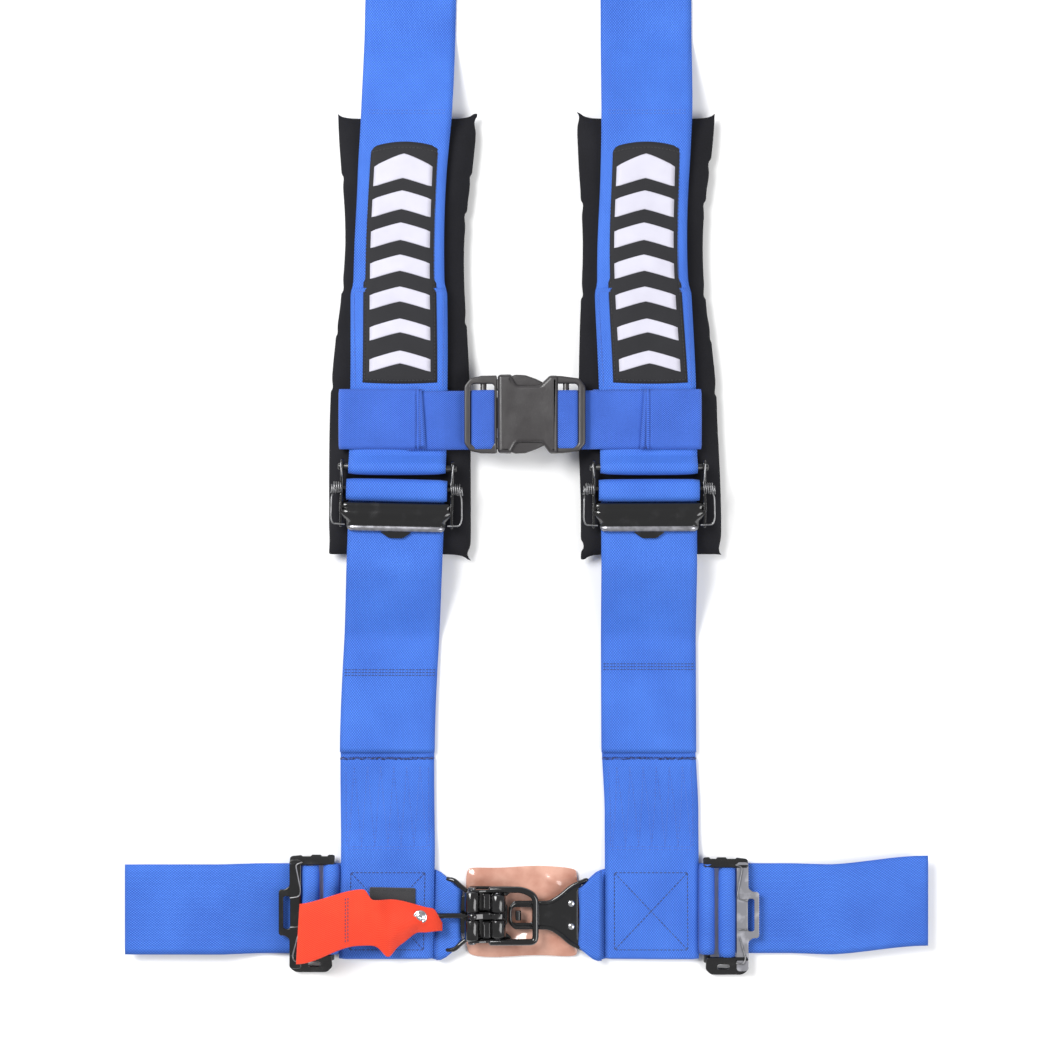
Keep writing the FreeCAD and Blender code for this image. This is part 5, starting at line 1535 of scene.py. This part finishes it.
def latch_cushion():
    """A thin glossy cushion of vinyl, sealed round its edge and rumpled by the latch."""
    low, high = node_box("latch_pad")
    centre = (low + high) / 2
    half_x, half_y = (high.x - low.x) / 2, (high.y - low.y) / 2
    rows, columns = 52, 60
    folds = [(-0.8, 0.82, 0.14, 2.6, 0.0), (0.75, 0.72, 0.12, 2.8, 0.35), (-0.45, -0.80, 0.4, 2.4, 0.1),
             (0.25, -0.66, 0.12, 2.6, -0.3), (0.72, -0.74, 0.14, 2.2, 0.2)]
    points = []
    for face in (1, 0):
        for row in range(rows + 1):
            for column in range(columns + 1):
                u, v = 2 * column / columns - 1, 2 * row / rows - 1
                corner = 1 - 0.05 * abs(u) ** 8 * abs(v) ** 8
                x = centre.x + half_x * u * corner + 0.6 * math.sin(5 * v + 1) * abs(u) ** 4
                y = centre.y + half_y * v * corner + 0.8 * math.sin(4 * u + 0.5) * abs(v) ** 4
                rim = (1 - abs(u) ** 7) * (1 - abs(v) ** 7)
                wave = (0.9 * math.sin(2.6 * u + 1.4 * v + 0.8) + 0.7 * math.sin(6.1 * v - 2.2 * u)
                        + 0.5 * math.sin(7.3 * u + 3.0 * v * v)) * rim
                thick = 0.35 + (1.45 + 0.35 * wave) * rim
                puff = sum(high_mm * bulge(u * 0.92 + v * lean, at_u, wide) * bulge(v, at_v, 0.16)
                           for at_u, at_v, wide, high_mm, lean in folds) * rim if face else 0.0
                middle_z = 2.1 + 0.5 * wave
                points.append((x, y, max(middle_z + puff + (thick if face else -thick), 0.3)))
    faces = sheet_faces(rows, columns)
    cushion = mesh_object("latch_cushion", points, faces, VINYL)
    turn_outwards(cushion.data)
    divide = cushion.modifiers.new("smooth", "SUBSURF")
    divide.levels = divide.render_levels = 1
    put_on(cushion, "root", "pad_vinyl", "latch_pad")


latch_cushion()


# ---------------------------------------------------------------- latch


def latch():
    """Pressed and rolled parts of the latch: base, lever, bail and link, as seen from above."""
    pivot, bail_pin = middle("latch_pivot_pin"), middle("bail_pin")
    axis_y = LATCH_Y + 2.0

    def spot(x, across, z):
        return (x, axis_y + across, z)

    lie = lie_at(spot(0, 0, 0), (1, 0, 0), (0, 1, 0))
    y_axis = (0, 1, 0)

    def barrel(name, at, inner, outer, radius, end):
        """A rolled barrel on one side of the lever, with a turned cap."""
        long = outer - inner
        profile = [(0, radius - 1.2), (0.5, radius - 0.3), (1.2, radius), (long - 1.4, radius),
                   (long - 0.7, radius - 0.5), (long - 0.5, radius - 1.6), (long, radius - 1.9),
                   (long + 0.5, radius - 2.6), (long + 0.7, 1.2)]
        start = Vector((at.x, axis_y + end * inner, at.z))
        return turned(name, profile, start, (0, end, 0), BLACK_STEEL, 32)

    half = [(-57, -15, 2), (-51, -17, 2), (-49, -24, 3), (-10, -24, 3), (-14, -18, 2), (-23, -11, 4),
            (-16, -8, 3)]
    plate = half + [(x, -y, radius) for x, y, radius in reversed(half)]
    parts = [pressed("base_plate", [rounded(plate)], 5.0, 8.0, 0.8, BLACK_STEEL, lie)]
    for end in (-1, 1):
        arm = bent([spot(-67.0, end * 30.0, 7.4), spot(-61.0, end * 29.4, 9.8), spot(-56.0, end * 24.5, 10.6),
                    spot(-51.0, end * 20.6, 10.4), spot(-46.0, end * 19.0, 8.5)], 5)
        parts.append(wire("base_arm", arm, 2.1, BLACK_STEEL, 12))
        parts.append(barrel("base_barrel", pivot, 3.1, 18.4, 6.8, end))
        band = [(-37.4, end * 5.0, 1.2), (-30.6, end * 5.0, 1.2), (-30.6, end * 19.2, 1.8),
                (-37.4, end * 19.2, 1.8)]
        parts.append(pressed("base_band", [rounded(band)], 12.0, 17.4, 0.9, BLACK_STEEL, lie))
        rib = [(-36.6, end * 6.6, 0.5), (-35.0, end * 6.6, 0.5), (-35.0, end * 17.6, 0.5),
               (-36.6, end * 17.6, 0.5)]
        parts.append(pressed("band_rib", [rounded(rib)], 16.8, 18.3, 0.6, BLACK_STEEL, lie))
    hook = [(-9.8, 8.0, 0.8), (-5.6, 8.0, 0.8), (-4.4, 13.2, 1.2), (-6.4, 15.0, 1.2), (-9.2, 13.6, 1.2)]
    parts.append(pressed("base_hook", [rounded(hook)], -4.2, 4.2, 0.6, BLACK_STEEL,
                         lie_at(spot(0, 0, 0), (1, 0, 0), (0, 0, 1))))
    put_on(joined("latch_base_pressing", *parts), "root", "black_steel", "latch_base")
    head = [(-20.1, 0.8), (-19.9, 2.6), (-19.3, 3.3), (19.3, 3.3), (19.9, 2.6), (20.1, 0.8)]
    pin = turned("latch_pivot_rod", head, (pivot.x, axis_y, pivot.z), y_axis, PIN_STEEL, 24)
    put_on(pin, "root", "bright_steel", "latch_pivot_pin")

    web = [(-50.6, 12.2, 3), (-49.6, 20.8, 3), (-44.0, 22.6, 3), (-37.0, 19.0, 3), (-31.0, 18.6, 3),
           (-27.0, 22.0, 3), (-19.6, 20.6, 4), (-17.6, 14.6, 3), (-22.0, 8.8, 3), (-34.0, 12.0, 3)]
    parts = [pressed("lever_web", [rounded(web)], -2.7, 2.7, 0.9, BLACK_STEEL,
                     lie_at(spot(0, 0, 0), (1, 0, 0), (0, 0, 1)))]
    rod_line = [spot(-86.0, 0, bail_pin.z), spot(-62.0, 0.3, bail_pin.z + 0.4), spot(-49.0, 0, bail_pin.z)]
    parts.append(wire("lever_rod", rod_line, 2.3, BLACK_STEEL, 14))
    parts.append(turned("lever_boss", [(-0.5, 3.4), (0.4, 3.2), (1.3, 2.2), (1.6, 0.4)],
                        spot(-45.2, 0, 22.0), (0, 0, 1), BLACK_STEEL, 24))
    put_on(joined("latch_lever_pressing", *parts), "lever", "black_steel", "latch_lever")
    head = [(-24.4, 0.8), (-24.2, 2.4), (-23.6, 3.2), (23.6, 3.2), (24.2, 2.4), (24.4, 0.8)]
    pin = turned("bail_pin_rod", head, (bail_pin.x, axis_y, bail_pin.z), y_axis, PIN_STEEL, 24)
    put_on(pin, "lever", "bright_steel", "bail_pin")

    parts = []
    high = node_box("latch_bail")[1]
    bar_x = high.x - 2.7
    for end in (-1, 1):
        parts.append(barrel("bail_barrel", bail_pin, 3.1, 21.0, 6.4, end))
        side = [(-49.5, 11.4, 3), (-49.5, 20.4, 4), (-40.0, 20.4, 3), (-34.0, 18.8, 3), (-4.0, 18.6, 2),
                (-1.0, 17.0, 2), (-1.0, 13.0, 2), (-30.0, 12.8, 3)]
        parts.append(pressed("bail_side", [rounded(side)], -1.1, 1.1, 0.5, BLACK_STEEL,
                             lie_at(spot(0, end * 21.4, 0), (1, 0, 0), (0, 0, 1))))
    loop = [spot(-30, 22.2, 16.4), spot(-3, 22.2, 16.2), spot(bar_x, 16.5, 15.0), spot(bar_x, 0, 14.9),
            spot(bar_x, -22.2, 15.0), spot(-3, -22.2, 16.2), spot(-30, -22.2, 16.4)]
    parts.append(wire("bail_loop", bent(loop, 8, 8), 2.8, BLACK_STEEL, 16))
    put_on(joined("latch_bail_pressing", *parts), "bail", "black_steel", "latch_bail")

    half = [(-15.4, 6.5, 5), (-10.5, 12.2, 5), (4.0, 12.2, 4), (9.0, 11.2, 5), (22.0, 11.6, 9),
            (34.0, 22.0, 8), (43.0, 28.6, 5), (52.5, 31.6, 1.6), (52.5, 28.0, 1.2), (46.5, 25.5, 3),
            (43.4, 20.0, 3)]
    link = half + [(x, -y, radius) for x, y, radius in reversed(half)]
    eye = [(-12.4, 6.6, 3), (4.6, 6.6, 2), (4.6, -6.6, 2), (-12.4, -6.6, 3)]
    parts = [pressed("link_plate", [rounded(link), rounded(eye)], 8.6, 11.4, 0.8, BLACK_STEEL, lie)]
    for end in (-1, 1):
        edge = [(10.0, 10.4), (20.0, 10.6), (29.0, 16.4), (38.0, 24.6), (50.5, 29.8)]
        rib = bent([spot(x, end * y, 11.4) for x, y in edge], 7, 6)
        parts.append(wire("link_rib", rib, 1.9, BLACK_STEEL, 12))
    ring = bent([spot(3.6, 9.6, 11.3), spot(-10.0, 9.6, 11.3), spot(-13.8, 5.0, 11.3),
                 spot(-13.8, -5.0, 11.3), spot(-10.0, -9.6, 11.3), spot(3.6, -9.6, 11.3)], 4)
    parts.append(wire("eye_bead", ring, 1.3, BLACK_STEEL, 12))
    put_on(joined("latch_link_pressing", *parts), "link", "black_steel", "latch_link")
    rivets = [turned("link_rivet", [(-0.6, 2.9), (0.3, 2.9), (0.9, 2.3), (1.2, 1.2), (1.3, 0.3)],
                     spot(middle("link_rivets").x, across, 11.4), (0, 0, 1), RIVET_STEEL,
                     24) for across in (9.8, -9.8)]
    put_on(joined("link_rivet_heads", *rivets), "link", "bright_steel", "link_rivets")


latch()


# ---------------------------------------------------------------- sternum buckle


def sternum_buckle():
    socket_low, socket_high = node_box("buckle_socket")
    centre_y = -2.0
    mid_z = (socket_low.z + socket_high.z) / 2

    body = [(-24.2, 32.9, 3), (-13.0, 33.2, 2), (-8.2, 24.2, 4), (11.2, 24.2, 3), (19.5, 32.2, 3.5),
            (26.5, 32.2, 2), (26.5, -33.2, 2), (19.5, -33.2, 3.5), (13.0, -24.2, 3), (-8.2, -24.2, 4),
            (-13.0, -33.2, 2), (-24.2, -33.0, 3)]
    shell = pressed("socket_body", [rounded([(x, y + centre_y, r) for x, y, r in body])], socket_low.z + 0.3,
                    socket_high.z + 0.9, 3.6, ACETAL, steps=5)
    slot = [(23.8, 25.4, 2), (43.3, 25.4, 3), (43.3, -26.4, 3), (23.8, -26.4, 2)]
    web_frame = [(21.5, 32.2, 2), (30.0, 31.8, 4), (44.5, 29.8, 4), (49.6, 23.0, 5), (49.6, -25.0, 5),
                 (44.5, -31.2, 4), (30.0, -33.0, 4), (21.5, -33.2, 2)]
    frame_plate = pressed("socket_frame", [rounded([(x, y + centre_y, r) for x, y, r in web_frame]),
                                           rounded([(x, y + centre_y, r) for x, y, r in slot])],
                          mid_z - 4.0, mid_z + 4.2, 2.0, ACETAL, steps=4)
    roller = turned("socket_roller", [(-27.5, 2.3), (-27.0, 2.6), (27.0, 2.6), (27.5, 2.3)],
                    (33.2, centre_y - 1, mid_z), (0, 1, 0), ACETAL, 16)
    put_on(joined("socket_shell", shell, frame_plate, roller), "root", "buckle_plastic", "buckle_socket")

    plug = [(-24.9, 32.3, 1.2), (-38.0, 32.0, 4), (-47.5, 29.5, 4), (-52.2, 23.5, 5), (-52.2, -25.0, 5),
            (-47.5, -31.0, 4), (-38.0, -33.2, 4), (-24.9, -33.2, 1.2)]
    slot = [(-27.0, 25.2, 2.5), (-47.0, 25.2, 3), (-47.0, -26.4, 3), (-27.0, -26.4, 2.5)]
    frame_plate = pressed("plug_frame", [rounded([(x, y + centre_y, r) for x, y, r in plug]),
                                         rounded([(x, y + centre_y, r) for x, y, r in slot])],
                          mid_z - 4.0, mid_z + 4.0, 1.3, ACETAL, steps=4)
    roller = turned("plug_roller", [(-27.5, 2.3), (-27.0, 2.6), (27.0, 2.6), (27.5, 2.3)],
                    (-36.1, centre_y - 1, mid_z), (0, 1, 0), ACETAL, 16)
    tongue = pressed("plug_tongue", [rounded([(-26, 12, 1), (10, 10, 3), (10, -12, 3), (-26, -14, 1)])],
                     mid_z - 1.8, mid_z + 1.8, 0.8, ACETAL)
    put_on(joined("plug_shell", frame_plate, roller, tongue), "root", "buckle_plastic", "buckle_plug")

    for body_name, flip in (("upper", 1), ("lower", -1)):
        prong = [(-25.5, 19.5, 1), (-25.5, 29.0, 1), (-16.0, 30.8, 4), (-9.0, 33.0, 4), (-1.0, 32.6, 8),
                 (8.0, 29.4, 8), (15.6, 25.6, 1.5), (15.2, 22.2, 2), (4.0, 21.4, 4), (-8.0, 21.6, 4)]
        outline = [(x, flip * y + centre_y - (0.4 if flip < 0 else 0), r) for x, y, r in prong]
        if flip < 0:
            outline.reverse()
        piece = pressed(body_name + "_prong_arm", [rounded(outline)], mid_z - 3.6, mid_z + 3.6, 1.6, ACETAL,
                        steps=4)
        put_on(piece, body_name + "_prong", "buckle_plastic", body_name + "_buckle_prong")


sternum_buckle()


# ---------------------------------------------------------------- finishes of the CAD pieces that stay

CAD_FINISHES = {
    "black_steel": (BLACK_STEEL, 0.5),
    "bright_steel": (RIVET_STEEL, 0.3),
    "buckle_plastic": (ACETAL, 0.8),
    "webbing": (BLUE, 0.0),
    "pad_fabric": (PAD_BLACK, 0.0),
    "pad_foam": (PAD_BLACK, 0.0),
    "patch_fabric": (PATCH_BLACK, 0.0),
    "tab_webbing": (RED, 0.0),
    "pad_vinyl": (VINYL, 0.0),
}
for row in frame["record"]["subparts"]:
    if not frame["nodes"][row["node"]].hide_render:
        material, bevel = CAD_FINISHES[row["material_slot"]]
        finish_cad(row["node"], material, bevel)


# ---------------------------------------------------------------- floor, lights and camera


def white_world(strength):
    world = bpy.data.worlds.new("studio")
    world.use_nodes = True
    background = world.node_tree.nodes["Background"]
    background.inputs["Color"].default_value = (1, 1, 1, 1)
    background.inputs["Strength"].default_value = strength
    bpy.context.scene.world = world


def studio_floor():
    floor_material = new_material("studio_floor", (0.97, 0.97, 0.97), 0.9, Specular_IOR_Level=0.1)
    half = 4000.0
    floor = mesh_object("studio_floor",
                        [(-half, -half, 0), (half, -half, 0), (half, half, 0), (-half, half, 0)],
                        [(0, 1, 2, 3)], floor_material)
    floor.location.z = -0.0004


def soft_box(name, at, size, power):
    light = bpy.data.lights.new(name, "AREA")
    light.shape = "RECTANGLE"
    light.size, light.size_y = size
    light.energy = power
    lamp = bpy.data.objects.new(name, light)
    lamp.location = at
    aim = Vector((0, -0.1, 0)) - Vector(at)
    lamp.rotation_mode = "QUATERNION"
    lamp.rotation_quaternion = aim.to_track_quat("-Z", "Y")
    bpy.context.scene.collection.objects.link(lamp)


def photo_camera():
    """Straight above, so that the picture spans the lap tails and most of the shoulder belts."""
    distance = 2.3
    span = 0.895
    above_lap_line = 0.3235
    data = bpy.data.cameras.new("camera")
    data.sensor_width = 36.0
    data.lens = data.sensor_width * distance / span
    camera = bpy.data.objects.new("camera", data)
    camera.location = (0.0, LAP_Y * MM + above_lap_line, distance)
    bpy.context.scene.collection.objects.link(camera)
    bpy.context.scene.camera = camera


studio_floor()
white_world(0.42)
soft_box("key_light", (-1.4, 0.9, 2.0), (1.3, 1.3), 74)
soft_box("fill_light", (1.8, -0.8, 2.0), (1.6, 1.6), 40)
photo_camera()
bpy.context.scene.view_settings.view_transform = "Standard"
